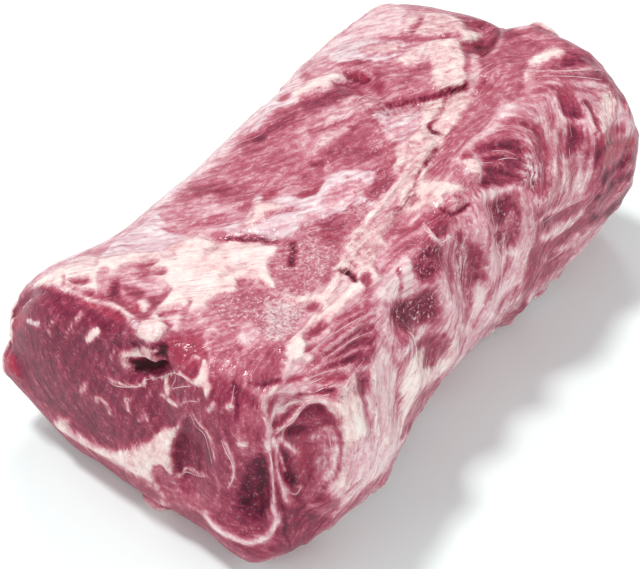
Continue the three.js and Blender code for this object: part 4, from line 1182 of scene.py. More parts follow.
COMBS = (
    Comb("12,340 24,390 60,425", 14),
    Comb("40,330 60,395 90,440", 14),
    Comb("50,340 72,300", 14),
    Comb("80,380 100,330", 14),
    Comb("110,430 120,380", 16),
    Comb("150,430 190,380", 16),
    Comb("180,400 210,470", 14),
    Comb("240,400 245,480", 14),
    Comb("270,400 272,510", 10),
    Comb("180,500 250,520", 12),
    Comb("60,270 150,255 240,255", 24),
    Comb("130,300 180,280", 14),
    Comb("170,220 230,205", 20),
    Comb("180,190 290,160", 24),
    Comb("230,225 300,210 370,180", 20),
    Comb("260,130 330,90", 20),
    Comb("330,140 380,120", 16),
    Comb("300,70 400,50", 18),
    Comb("390,130 460,100", 16),
    Comb("430,178 495,95", 10),
    Comb("200,330 280,310", 18),
    Comb("250,380 270,345", 14),
    Comb("290,330 370,220", 16),
    Comb("380,220 440,160", 16),
    Comb("300,360 340,330 375,308", 10),
    Comb("310,378 345,358 375,340", 10),
    Comb("290,392 345,382", 6),
    Comb("284,430 300,410 328,402", 8),
    Comb("304,480 304,442 326,424 341,440 340,470 318,496", 7),
    Comb("350,395 358,430 350,480 325,508", 12),
    Comb("380,350 380,450", 12),
    Comb("398,312 402,380 392,440", 10),
    Comb("404,320 438,300", 8),
    Comb("450,340 425,390 402,450", 12),
    Comb("402,232 450,216", 8),
    Comb("414,272 444,256", 8),
    Comb("458,235 466,285 455,340", 12),
    Comb("480,205 489,240 486,285 470,330", 10),
    Comb("500,200 506,250", 8),
    Comb("514,256 500,286 480,320", 9),
    Comb("524,196 532,226 526,266 514,306", 9),
    Comb("468,146 490,131 516,126 538,136 548,160 544,196", 8),
    Comb("484,158 520,164", 9),
    Comb("486,178 518,178", 8),
    Comb("560,96 568,130 568,170 548,214", 10),
    Comb("582,120 592,150 584,190 560,220", 10),
    Comb("536,270 590,205", 10),
    Comb("548,250 584,220", 10),
    Comb("522,72 562,72 606,76", 9),
    Comb("522,84 600,84", 8),
    Comb("596,216 620,180 636,148", 10),
    Comb("608,84 610,130", 9),
    Comb("340,520 400,455 445,382", 8),
)


# ------------------------------------------------------------------------------ finishes
def linear(code: str) -> tuple[float, float, float, float]:
    """Turn a screen colour, as six hexadecimal digits, into the linear one that a shader takes."""
    parts = (int(code[at : at + 2], 16) / 255 for at in (0, 2, 4))
    return (*(part / 12.92 if part <= 0.04045 else ((part + 0.055) / 1.055) ** 2.4 for part in parts), 1.0)


Socket = bpy.types.NodeSocket
Ramp = tuple[tuple[float, str], ...]  # places from 0 to 1, each with its screen colour


class Sheet:
    """A material's node tree, with short calls that each add one node and hand back what it gives."""

    def __init__(self, name: str) -> None:
        """Start an empty material with its shader and output in place."""
        self.material = bpy.data.materials.new(name)
        self.material.use_nodes = True
        self.tree = self.material.node_tree
        self.tree.nodes.clear()
        self.shader = self.tree.nodes.new("ShaderNodeBsdfPrincipled")
        output = self.tree.nodes.new("ShaderNodeOutputMaterial")
        self.tree.links.new(self.shader.outputs["BSDF"], output.inputs["Surface"])

    def feed(self, socket: Socket, value: object) -> None:
        """Link a node's output to a socket, or set the socket to a plain value."""
        if isinstance(value, bpy.types.NodeSocket):
            self.tree.links.new(value, socket)
        else:
            socket.default_value = value

    def math(self, operation: str, *values: object) -> Socket:
        """Do one sum on one, two or three values."""
        node = self.tree.nodes.new("ShaderNodeMath")
        node.operation = operation
        for socket, value in zip(node.inputs, values):
            self.feed(socket, value)
        return node.outputs[0]

    def total(self, start: object, *terms: tuple[object, object]) -> Socket:
        """Add values to a start, each times its weight."""
        for value, weight in terms:
            start = self.math("MULTIPLY_ADD", value, weight, start)
        return start

    def vector(self, operation: str, *values: object) -> Socket:
        """Do one sum on vectors; a scale takes its number last."""
        node = self.tree.nodes.new("ShaderNodeVectorMath")
        node.operation = operation
        sockets = (node.inputs[0], node.inputs["Scale"]) if operation == "SCALE" else node.inputs
        for socket, value in zip(sockets, values):
            self.feed(socket, value)
        return node.outputs["Vector"]

    def step(self, value: object, low: float, high: float, start: float = 0.0, end: float = 1.0) -> Socket:
        """Ease from start to end while the value runs from low to high."""
        node = self.tree.nodes.new("ShaderNodeMapRange")
        node.interpolation_type = "SMOOTHSTEP"
        for name, number in (("From Min", low), ("From Max", high), ("To Min", start), ("To Max", end)):
            node.inputs[name].default_value = number
        self.feed(node.inputs["Value"], value)
        return node.outputs["Result"]

    def blend(self, share: object, first: object, second: object) -> Socket:
        """Mix two colours by a share."""
        node = self.tree.nodes.new("ShaderNodeMix")
        node.data_type = "RGBA"
        for at, value in zip((0, 6, 7), (share, first, second)):
            self.feed(node.inputs[at], value)
        return node.outputs[2]

    def between(self, share: object, first: object, second: object) -> Socket:
        """Mix two numbers by a share."""
        node = self.tree.nodes.new("ShaderNodeMix")
        for at, value in zip((0, 2, 3), (share, first, second)):
            self.feed(node.inputs[at], value)
        return node.outputs[0]

    def noise(self, place: Socket, cell: float, detail: float = 2.0, rough: float = 0.5) -> Socket:
        """Read noise whose bumps are a cell of millimetres apart, from 0 to 1."""
        node = self.tree.nodes.new("ShaderNodeTexNoise")
        self.feed(node.inputs["Vector"], place)
        node.inputs["Scale"].default_value = 1.0 / cell
        node.inputs["Detail"].default_value = detail
        node.inputs["Roughness"].default_value = rough
        return node.outputs["Fac"]

    def push(self, place: Socket, cell: float, reach: float) -> Socket:
        """Push a place about by noise, so that what is read there wavers."""
        node = self.tree.nodes.new("ShaderNodeTexNoise")
        self.feed(node.inputs["Vector"], place)
        node.inputs["Scale"].default_value = 1.0 / cell
        node.inputs["Detail"].default_value = 1.0
        drift = self.vector("SUBTRACT", node.outputs["Color"], (0.5, 0.5, 0.5))
        return self.vector("ADD", place, self.vector("SCALE", drift, reach))

    def ramp(self, value: Socket, stops: Ramp) -> Socket:
        """Look a value up in a row of screen colours."""
        node = self.tree.nodes.new("ShaderNodeValToRGB")
        elements = node.color_ramp.elements
        while len(elements) < len(stops):
            elements.new(0.5)
        for element, (at, code) in zip(elements, stops):
            element.position = at
            element.color = linear(code)
        self.feed(node.inputs["Fac"], value)
        return node.outputs["Color"]

    def place(self) -> Socket:
        """Give the place on the piece in millimetres."""
        node = self.tree.nodes.new("ShaderNodeTexCoord")
        return self.vector("SCALE", node.outputs["Object"], 1.0 / MM)

    def painted(self, name: str) -> Socket:
        """Read an attribute that was painted on the piece, as a vector."""
        node = self.tree.nodes.new("ShaderNodeAttribute")
        node.attribute_name = name
        return node.outputs["Vector"]

    def parts(self, vector: Socket) -> tuple[Socket, Socket, Socket]:
        """Take a vector apart."""
        node = self.tree.nodes.new("ShaderNodeSeparateXYZ")
        self.feed(node.inputs[0], vector)
        return node.outputs[0], node.outputs[1], node.outputs[2]

    def combed(
        self, place: Socket, grain: Socket, cell: float, reach: float, taps: int, gain: float
    ) -> Socket:
        """Read noise smeared along the grain into fibres.

        Args:
            place: The place in millimetres.
            grain: The unit direction of the fibres.
            cell: How far apart the fibres are, in millimetres.
            reach: How far each way they are smeared.
            taps: How many readings make the smear.
            gain: How much the smeared noise is stretched about its middle.

        Returns:
            The fibres, from 0 to 1 about a middle of 0.5.
        """
        total = None
        for tap in range(taps):
            offset = reach * (2.0 * tap / (taps - 1) - 1.0)
            moved = self.vector("ADD", place, self.vector("SCALE", grain, offset))
            reading = self.noise(moved, cell, detail=0.0)
            total = reading if total is None else self.math("ADD", total, reading)
        return self.total(0.5 - 0.5 * gain, (total, gain / taps))

    def bump(self, height: Socket, deep: float) -> Socket:
        """Turn a height from 0 to 1 into relief of a depth in millimetres."""
        node = self.tree.nodes.new("ShaderNodeBump")
        node.inputs["Strength"].default_value = 1.0
        node.inputs["Distance"].default_value = deep * MM
        self.feed(node.inputs["Height"], height)
        return node.outputs["Normal"]


@dataclass(frozen=True)
class BeefFields:
    """What the beef's finish is worked out from: shares painted on the slab, and noise along its fibres."""

    fat: Socket
    silver: Socket
    pale: Socket
    # deep red, which also carries the painted shade of clefts, folds and hollows
    deep: Socket
    bright: Socket
    # where white glint specks are painted
    glint: Socket
    calm: Socket  # how plain the fibres are
    bent: Socket  # the place in millimetres, pushed about a little
    fine: Socket
    mottle: Socket
    blush: Socket
    # noise for the painted glint specks and for the fine wet bump
    sparkle_noise: Socket
    strands: Socket
    streaks: Socket
    web: Socket  # thin pale lines along the fibres
    fray: Socket  # how far the edges of fat and silverskin run along the fibres


@dataclass(frozen=True)
class BeefFinish:
    """Raw beef: wet muscle with fibres, cream fat, pearly silverskin, clefts darkened with painted shade, and
    painted glint specks.
    """

    flesh: Ramp = (
        (0.00, "430a22"),
        (0.18, "701a39"),
        (0.38, "96344f"),
        (0.55, "b35a6e"),
        (0.70, "cb8997"),
        (0.85, "dfb4bb"),
        (1.00, "efd6d7"),
    )
    cream: Ramp = ((0.0, "c98b94"), (0.3, "ddb0b3"), (0.6, "eccfcc"), (1.0, "f8e8e3"))
    silver: Ramp = ((0.0, "b77d8c"), (0.35, "d3aab4"), (0.6, "e2ccd1"), (1.0, "f4e9ea"))
    bright: str = "b0203f"
    # painted shade: the near-black red at the bottom of clefts
    cleft_shade: str = "36040f"
    fibre_gap: float = 1.0  # millimetres between fine fibres
    strand_gap: float = 2.5  # millimetres between strands
    taps: int = 11
    gain: float = 4.2
    relief: float = 0.5  # millimetres
    roughness: float = 0.45
    specular: float = 0.15
    wet_roughness: float = 0.12
    wet_ior: float = 1.4
    depth_share: float = 0.08
    depth: tuple[float, float, float] = (2.0, 0.7, 0.5)  # millimetres that red, green and blue light reach

    def _fields(self, sheet: Sheet) -> BeefFields:
        """Read what Slab painted, and the noise that goes with it.

        Args:
            sheet: The material that the nodes go into.

        Returns:
            Every fields that the colours, relief and gloss are worked out from.
        """
        place = sheet.place()
        grain = sheet.painted("grain")
        fat, silver, pale = sheet.parts(sheet.painted("tissue"))
        # deep red with its painted shade, bright red, and painted glints
        deep, bright, glint = sheet.parts(sheet.painted("mood"))
        ridge, calm, side = sheet.parts(sheet.painted("ridge"))
        bent = sheet.push(place, 7.0, 5.0)
        fine = sheet.noise(place, 0.8, 2.0, 0.6)
        mottle = sheet.noise(place, 5.0, 3.0, 0.6)
        sparkle_noise = sheet.noise(bent, 1.7, 2.0, 0.7)

        fibres = sheet.combed(bent, grain, self.fibre_gap, 3.0, self.taps, self.gain)
        strands = sheet.combed(bent, grain, self.strand_gap, 7.0, self.taps, self.gain)
        line = sheet.step(sheet.math("ABSOLUTE", sheet.math("SUBTRACT", strands, 0.62)), 0.0, 0.1, 1.0, 0.0)
        web = sheet.math("MULTIPLY", line, sheet.step(mottle, 0.42, 0.6))
        web = sheet.math("MULTIPLY", web, sheet.step(deep, 0.5, 1.0, 1.0, 0.0))
        streaks = sheet.total(0.0, (fibres, 0.4), (strands, 0.6), (ridge, 0.2))
        streaks = sheet.between(sheet.math("MULTIPLY", calm, 0.6), streaks, mottle)
        # where glints are painted the streaks turn to speckle, which stands for sparkle in the colour and in
        # the bump
        sparkle_grain = sheet.total(-0.6, (sparkle_noise, 2.2))
        streaks = sheet.between(sheet.math("MULTIPLY", glint, 0.75), streaks, sparkle_grain)

        torn = sheet.total(-0.8, (sheet.noise(bent, 4.0, 3.0, 0.65), 2.6))
        edge = sheet.between(side, sheet.between(0.35, torn, streaks), streaks)
        return BeefFields(
            fat=fat,
            silver=silver,
            pale=pale,
            deep=deep,
            bright=bright,
            glint=glint,
            calm=calm,
            bent=bent,
            fine=fine,
            mottle=mottle,
            blush=sheet.noise(place, 13.0, 2.0),
            sparkle_noise=sparkle_noise,
            strands=strands,
            streaks=streaks,
            web=web,
            fray=sheet.total(-0.75, (edge, 1.0), (fine, 0.5)),
        )

    def _muscle(self, sheet: Sheet, fields: BeefFields) -> Socket:
        """Colour bare muscle: its streaks, its deep and bright red places, painted shade in clefts and
        painted glint specks.
        """
        tone = sheet.total(-0.12, (fields.streaks, 0.5), (fields.mottle, 0.3), (fields.fine, 0.22))
        # deep red darkens the tone, and with it the painted shade
        tone = sheet.total(tone, (fields.web, 0.14), (fields.pale, 0.55), (fields.deep, -0.3))
        flesh = sheet.ramp(tone, self.flesh)
        bright = sheet.step(sheet.total(fields.bright, (fields.fray, 0.8)), 0.15, 1.0, 0.0, 0.6)
        flesh = sheet.blend(bright, flesh, linear(self.bright))
        # painted highlight: white glint specks
        glint_specks = sheet.step(sheet.total(fields.sparkle_noise, (fields.mottle, 0.35)), 0.74, 0.92, 0.0, 0.75)
        painted_glints = sheet.math("MULTIPLY", sheet.step(fields.glint, 0.1, 0.9, 0.2, 1.0), glint_specks)
        flesh = sheet.blend(painted_glints, flesh, linear(self.cream[-1][1]))
        # painted shade: near-black red where the clefts are deepest
        return sheet.blend(sheet.step(fields.deep, 1.0, 1.8), flesh, linear(self.cleft_shade))

    def _skin(self, sheet: Sheet, fields: BeefFields, flesh: Socket) -> Socket:
        """Lay silverskin over the muscle."""
        share = sheet.step(sheet.total(fields.silver, (fields.fray, 0.6)), 0.25, 0.75, 0.0, 0.9)
        sheen = sheet.total(-0.3, (fields.blush, 0.9), (fields.strands, 0.8))
        return sheet.blend(share, flesh, sheet.ramp(sheen, self.silver))

    def _fat(self, sheet: Sheet, fields: BeefFields, thick: Socket) -> Socket:
        """Colour the fat, paler where it is thicker."""
        tone = sheet.total(-1.05, (sheet.step(thick, 0.45, 1.1), 0.5), (fields.streaks, 0.7))
        return sheet.ramp(sheet.total(tone, (fields.blush, 1.1), (fields.mottle, 0.9)), self.cream)

    def _wet(self, sheet: Sheet, fields: BeefFields) -> None:
        """Lay a thin wet coat over everything, less in the dark clefts and on the cut ends."""
        pool = sheet.noise(fields.bent, 3.0, 1.0)
        pool = sheet.total(pool, (fields.strands, 0.5), (fields.glint, fields.sparkle_noise))
        sheet.feed(sheet.shader.inputs["Coat Normal"], sheet.bump(pool, self.relief))
        wet = sheet.step(fields.deep, 0.1, 1.0, 1.0, 0.15)
        wet = sheet.math("MULTIPLY", wet, sheet.step(fields.calm, 0.6, 1.0, 1.0, 0.35))
        wet = sheet.math("MULTIPLY", wet, sheet.step(fields.mottle, 0.3, 0.6, 0.75, 0.3))
        sheet.feed(sheet.shader.inputs["Coat Weight"], wet)
        sheet.feed(sheet.shader.inputs["Coat Roughness"], self.wet_roughness)
        sheet.feed(sheet.shader.inputs["Coat IOR"], self.wet_ior)

    def make(self) -> bpy.types.Material:
        """Build the material.

        Returns:
            The material, which reads the attributes that Slab paints.
        """
        sheet = Sheet("raw_beef")
        fields = self._fields(sheet)
        thick = sheet.total(fields.fat, (fields.fray, 0.65))
        fat_share = sheet.step(thick, 0.25, 0.75)
        lean = self._skin(sheet, fields, self._muscle(sheet, fields))
        colour = sheet.blend(fat_share, lean, self._fat(sheet, fields, thick))
        height = sheet.total(fields.streaks, (fields.fine, 0.2), (fields.web, 0.35), (fat_share, 0.5))
        height = sheet.total(height, (fields.glint, fields.sparkle_noise))
        self._wet(sheet, fields)
        shader = sheet.shader.inputs
        sheet.feed(shader["Base Color"], colour)
        sheet.feed(shader["Normal"], sheet.bump(height, self.relief))
        sheet.feed(shader["Roughness"], self.roughness)
        sheet.feed(shader["Specular IOR Level"], self.specular)
        sheet.feed(shader["Subsurface Weight"], self.depth_share)
        sheet.feed(shader["Subsurface Radius"], tuple(reach * MM for reach in self.depth))
        sheet.feed(shader["Subsurface Scale"], 1.0)
        return sheet.material


# ------------------------------------------------------------------------------ the slab
@dataclass
class Slab:
    """The whole piece of meat, as one closed mesh."""

    form: SlabForm = field(default_factory=SlabForm)
    cuts: tuple[int, int, int] = (222, 112, 70)  # faces along the length, the width and the height
    wander: float = 1.6  # how far a daub's edge strays, in pixels on the photograph
    hidden_run: tuple[float, float, float] = (1.0, 0.12, 0.2)  # which way the fibres of a hidden side run
    settle: float = 1.6  # millimetres that the skin lies lower, to make up for its relief
    middle: np.ndarray = field(default_factory=lambda: np.zeros(3))
    points: np.ndarray = field(default_factory=lambda: np.zeros((0, 3)))  # in the part's frame, once built
    normals: np.ndarray = field(default_factory=lambda: np.zeros((0, 3)))
    grain: np.ndarray = field(default_factory=lambda: np.zeros((0, 3)))
    shares: np.ndarray = field(default_factory=lambda: np.zeros((0, 6)))
    piece: bpy.types.Object | None = None

    def _cube(self) -> bpy.types.Mesh:
        """Cut a cube into even faces along each axis."""
        work = bmesh.new()
        bmesh.ops.create_cube(work, size=2.0)
        for axis, count in enumerate(self.cuts):
            along = [
                edge for edge in work.edges if abs(edge.verts[0].co[axis] - edge.verts[1].co[axis]) > 1e-4
            ]
            bmesh.ops.subdivide_edges(work, edges=along, cuts=count - 1, use_grid_fill=True)
        mesh = bpy.data.meshes.new("slab")
        work.to_mesh(mesh)
        work.free()
        return mesh

    @staticmethod
    def _read(mesh: bpy.types.Mesh) -> np.ndarray:
        """Read a mesh's places, one to a row."""
        flat = np.empty(len(mesh.vertices) * 3)
        mesh.vertices.foreach_get("co", flat)
        return flat.reshape(-1, 3)

    @staticmethod
    def _write(mesh: bpy.types.Mesh, points: np.ndarray) -> np.ndarray:
        """Move a mesh's points and read its new normals."""
        mesh.vertices.foreach_set("co", points.astype(np.float32).ravel())
        mesh.update()
        flat = np.empty(len(mesh.vertices) * 3, dtype=np.float32)
        mesh.vertex_normals.foreach_get("vector", flat)
        return flat.reshape(-1, 3).astype(float)

    @staticmethod
    def _paint(mesh: bpy.types.Mesh, name: str, values: np.ndarray) -> None:
        """Keep a vector at each point of a mesh, for the material to read."""
        layer = mesh.attributes.new(name, "FLOAT_VECTOR", "POINT")
        layer.data.foreach_set("vector", values.astype(np.float32).ravel())

    @staticmethod
    def _seen(points: np.ndarray, normals: np.ndarray) -> np.ndarray:
        """Say how well the photograph shows each point, from 0 to 1."""
        towards = VIEW.eye() - points
        towards /= np.linalg.norm(towards, axis=1, keepdims=True)
        return smooth(np.sum(normals * towards, axis=1) / 0.12)

    @staticmethod
    def _veil(points: np.ndarray, normals: np.ndarray, grain: np.ndarray) -> np.ndarray:
        """Say how pale the bare muscle is: its sides are veiled in streaks, and its cut ends are not."""
        top, rib = Face.TOP.facing(normals), np.maximum(Face.RIB.facing(normals), Face.CAP.facing(normals))
        ends = np.maximum(Face.CUT.facing(normals), Face.END.facing(normals))
        streaks = 0.6 * Grit(6.5, 21).combed(points, grain, 18.0, 9)
        streaks += 0.5 * Grit(3.4, 22).combed(points, grain, 9.0, 9)
        patches = Grit(22.0, 23).rough(points)
        veil = 0.24 * top + 0.66 * rib + (0.3 * top + 0.6 * rib) * streaks + 0.35 * top * patches
        return np.clip(veil * (1 - 0.8 * ends) + 0.06 * ends * streaks, -0.3, 1.0)

    def _lay(
        self, points: np.ndarray, normals: np.ndarray, veil: np.ndarray
    ) -> tuple[np.ndarray, np.ndarray]:
        """Lay every daub on the slab.

        Args:
            points: The places of the slab's points.
            normals: Their normals.
            veil: How pale the bare muscle is at each.

        Returns:
            The six shares of Tissue at each point, and how far the daubs lift it.
        """
        seen = self._seen(points, normals)
        pixels, scale = VIEW.project(points)
        wander = np.stack([Grit(7.0, 3).rough(points), Grit(7.0, 4).rough(points)], axis=1)
        charts = {Chart.PHOTO: (pixels + wander * self.wander, scale, seen)}
        for chart in (Chart.CAP, Chart.END, Chart.UNDER):
            weight = (1 - seen) * smooth(chart.value.facing(normals))
            charts[chart] = (chart.value.flat(points) + wander, np.ones(len(points)), weight)
        shares = np.zeros((len(points), 6))
        shares[:, 2] = veil
        lift = np.zeros(len(points))
        for soft, daub in ((soft, daub) for soft, coat in COATS for daub in coat):
            places, units, weight = charts[daub.chart]
            near, cover = daub.cover(places, units, soft)
            cover *= weight[near]
            shares[near] += (np.array(daub.tissue.value) * daub.strength - shares[near]) * cover[:, None]
            lift[near] += daub.lift * smooth(cover)
        return shares, lift

    @staticmethod
    def _laid_flat(runs: np.ndarray, normals: np.ndarray) -> np.ndarray:
        """Take out of each direction what stands off the surface."""
        return runs - np.sum(runs * normals, axis=1, keepdims=True) * normals

    def _comb(self, points: np.ndarray, normals: np.ndarray) -> np.ndarray:
        """Work out which way the fibres run at each point.

        Args:
            points: The places of the slab's points.
            normals: Their normals.

        Returns:
            A unit vector along the surface for each point.
        """
        right, up, ahead = VIEW.axes()
        pixels, scale = VIEW.project(points)
        turn = np.zeros((len(points), 2))
        for comb in COMBS:
            path = rounded_path(trace(comb.path), closed=False)
            for start, end in zip(path[:-1], path[1:]):
                side = end - start
                angle = 2 * math.atan2(-side[1], side[0])
                gap = distance_to(pixels, np.array([start, end])) / scale
                weight = np.exp(-((gap / comb.reach) ** 2)) + 1e-6 / (1 + gap)
                turn += weight[:, None] * np.array([math.cos(angle), math.sin(angle)])
        angle = np.arctan2(turn[:, 1], turn[:, 0]) / 2
        across, rise = np.cos(angle)[:, None] * right, np.sin(angle)[:, None] * up
        flat = across + rise
        depth = -np.sum(flat * normals, axis=1) / np.minimum(normals @ ahead, -0.05)
        shown = flat + depth[:, None] * ahead
        hidden = self._laid_flat(np.tile(self.hidden_run, (len(points), 1)), normals)
        seen = self._seen(points, normals)[:, None]
        hidden *= np.where(np.sum(hidden * shown, axis=1, keepdims=True) < 0, -1.0, 1.0)
        grain = shown / np.linalg.norm(shown, axis=1, keepdims=True) * seen
        grain += hidden / (np.linalg.norm(hidden, axis=1, keepdims=True) + 1e-6) * (1 - seen)
        return grain / (np.linalg.norm(grain, axis=1, keepdims=True) + 1e-6)

    @staticmethod
    def _relief(
        points: np.ndarray, normals: np.ndarray, shares: np.ndarray, grain: np.ndarray
    ) -> tuple[np.ndarray, np.ndarray]:
        """Add up the relief that the tissue itself has: thickness of fat, strands, lumps and dimples.

        Args:
            points: The places of the slab's points.
            normals: Their normals.
            shares: The six shares of Tissue at each.
            grain: Which way the fibres run at each.

        Returns:
            How far each point is lifted; and how much of a ridge it lies on, from -1 to 1, how plain its
            fibres are and how much it belongs to a long side, from 0 to 1.
        """
        fat, silver = shares[:, 0], shares[:, 1]
        rib = Face.RIB.facing(normals)
        cut = np.maximum(Face.CUT.facing(normals), Face.END.facing(normals))
        strands = Grit(3.4, 11).combed(points, grain, 8.0, 9)
        broad = Grit(7.0, 12).combed(points, grain, 15.0)
        lumps = Grit(9.0, 13).rough(points)
        rolls = Grit(26.0, 14).rough(points, 2)
        muscle = 1 - np.clip(fat + silver, 0, 1)
        relief = 0.9 * smooth(fat) + 0.3 * smooth(silver)
        relief += strands * (0.15 + 0.95 * rib) * (0.5 + 0.5 * muscle) * (1 - 0.5 * cut)
        relief += broad * (0.4 + 1.4 * rib) * (1 - 0.6 * cut)
        relief += lumps * (0.35 + 0.35 * fat) * (1 - 0.4 * cut)
        relief += rolls * 0.9 * (1 - 0.5 * cut)
        ridge = np.clip(0.8 * strands + 0.5 * broad, -1, 1)
        top = Face.TOP.facing(normals) * (1 - rib)
        side = smooth(np.maximum(rib, Face.CAP.facing(normals)))
        return relief, np.stack([ridge, np.maximum(cut, 0.75 * top), side], axis=1)

    @staticmethod
    def _soothed(mesh: bpy.types.Mesh, points: np.ndarray, share: np.ndarray, rounds: int = 4) -> np.ndarray:
        """Even out the points of a steep place among their neighbours.

        Args:
            mesh: The mesh whose edges tell which points are neighbours.
            points: The places of its points.
            share: How far each point may move towards the middle of its neighbours, from 0 to 1.
            rounds: How often they move.

        Returns:
            The evened places.
        """
        ends = np.empty(len(mesh.edges) * 2, dtype=np.int32)
        mesh.edges.foreach_get("vertices", ends)
        first, second = ends.reshape(-1, 2).T
        count = np.bincount(ends, minlength=len(points))[:, None]
        for _ in range(rounds):
            total = np.zeros_like(points)
            for axis in range(3):
                total[:, axis] += np.bincount(first, points[second, axis], len(points))
                total[:, axis] += np.bincount(second, points[first, axis], len(points))
            points = points + (total / count - points) * share[:, None]
        return points

    def build(self) -> bpy.types.Object:
        """Shape, colour and hand over the slab.

        Returns:
            The slab's object, which stands for the CAD node.
        """
        mesh = self._cube()
        points = self.form.place(self._read(mesh))
        normals = self._write(mesh, points)
        grain = self._comb(points, normals)
        points = points + normals * self.form.swell(points, normals)[:, None]
        points[:, 2] = np.maximum(points[:, 2], 0.0)
        normals = self._write(mesh, points)
        along = self._laid_flat(grain, normals)
        flatness = np.linalg.norm(along, axis=1, keepdims=True)
        grain = mix(grain, along / (flatness + 1e-6), smooth(flatness / 0.9 - 0.2))
        grain /= np.linalg.norm(grain, axis=1, keepdims=True) + 1e-6
        self.middle = (points.min(axis=0) + points.max(axis=0)) / 2 * [1, 1, 0]

        shares, lift = self._lay(points, normals, self._veil(points, normals, grain))
        relief, ridge = self._relief(points, normals, shares, grain)
        lift += relief - self.settle
        lift *= 1 - 0.9 * smooth((-normals[:, 2] - 0.6) / 0.3)
        points = points + normals * lift[:, None]
        points = self._soothed(mesh, points, 0.7 * smooth((-lift - 0.8) / 1.2))
        points[:, 2] = np.maximum(points[:, 2], 0.0)
        self.points, self.grain, self.shares = points - self.middle, grain, shares
        self.normals = self._write(mesh, self.points * MM)
        self._paint(mesh, "tissue", shares[:, :3])
        self._paint(mesh, "mood", shares[:, 3:])
        self._paint(mesh, "grain", grain)
        self._paint(mesh, "ridge", ridge)
        mesh.shade_smooth()
        self.piece = bpy.data.objects.new("slab", mesh)
        bpy.context.scene.collection.objects.link(self.piece)
        return self.piece

    def room_for_threads(self) -> np.ndarray:
        """Say how likely a strewn thread is to start at each point: on streaked sides, off the fat."""
        sides = np.maximum(Face.RIB.facing(self.normals), 0.6 * Face.CAP.facing(self.normals))
        chance = sides + 0.2 * Face.TOP.facing(self.normals) * (1 - sides)
        pale = np.clip(self.shares[:, 2], 0, 1) * (1 - np.clip(self.shares[:, 3], 0, 1))
        return chance * pale**2 * (self.points[:, 2] > 6.0) + 1e-9

    def dress(self, finish: BeefFinish) -> None:
        """Give the slab its finish and tell the frame what it stands for."""
        self.piece.data.materials.append(finish.make())
        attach(self.piece, BODY)
        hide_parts(NODE)


# ------------------------------------------------------------------------------ threads on the slab
@dataclass(frozen=True)
class Thread:
    """One white thread of gristle or fat: its width in millimetres and its path in the photograph."""

    width: float
    path: str


THREADS = (
    Thread(0.6, "108,381 116,386 128,387 140,386 145,380 158,378"),
    Thread(0.7, "150,379 164,376 173,373 182,376 190,382 200,387"),
    Thread(0.5, "166,377 164,388 166,397"),
    Thread(0.45, "171,389 181,387 192,386"),
    Thread(0.45, "182,403 190,401 198,402"),
    Thread(0.6, "178,478 186,472 195,475 204,477"),
    Thread(0.5, "190,414 196,426 204,434 208,446 212,464"),
    Thread(0.7, "221,440 226,452 232,464 233,478 228,488"),
    Thread(1.2, "423,223 428,228 433,235 440,243"),
    Thread(1.0, "437,241 443,242 448,238 453,236"),
    Thread(2.2, "432,233 436,239 440,243 442,246"),
    Thread(0.9, "522,70 540,71 562,71 584,70 602,70"),
    Thread(0.7, "530,77 552,76 580,77 602,80"),
    Thread(0.55, "466,144 482,135 500,130 516,131 528,137 534,148"),
    Thread(0.45, "480,137 498,127 516,126 530,131 538,141"),
    Thread(0.5, "492,151 504,151 516,155"),
    Thread(0.5, "498,160 508,158 517,159"),
    Thread(0.7, "546,240 560,231 574,221 584,214"),
    Thread(0.8, "548,262 560,253 572,246 581,238"),
    Thread(0.7, "543,223 558,212 572,204 586,198"),
    Thread(0.5, "300,360 318,346 338,331 356,320 374,311"),
    Thread(0.5, "322,360 340,348 356,338 374,331"),
    Thread(0.5, "306,380 322,373 338,369 354,364"),
    Thread(0.7, "282,391 300,391 314,392 324,388 342,384"),
    Thread(0.7, "286,397 300,400 314,398 330,394"),
    Thread(0.9, "279,432 287,425 296,418 302,408 312,401 328,401"),
    Thread(1.0, "268,448 272,464 273,484 274,504 280,524"),
    Thread(1.1, "289,492 296,494 301,487"),
    Thread(0.8, "340,120 350,110 360,98 372,94"),
    Thread(0.7, "206,252 214,249 222,244"),
)


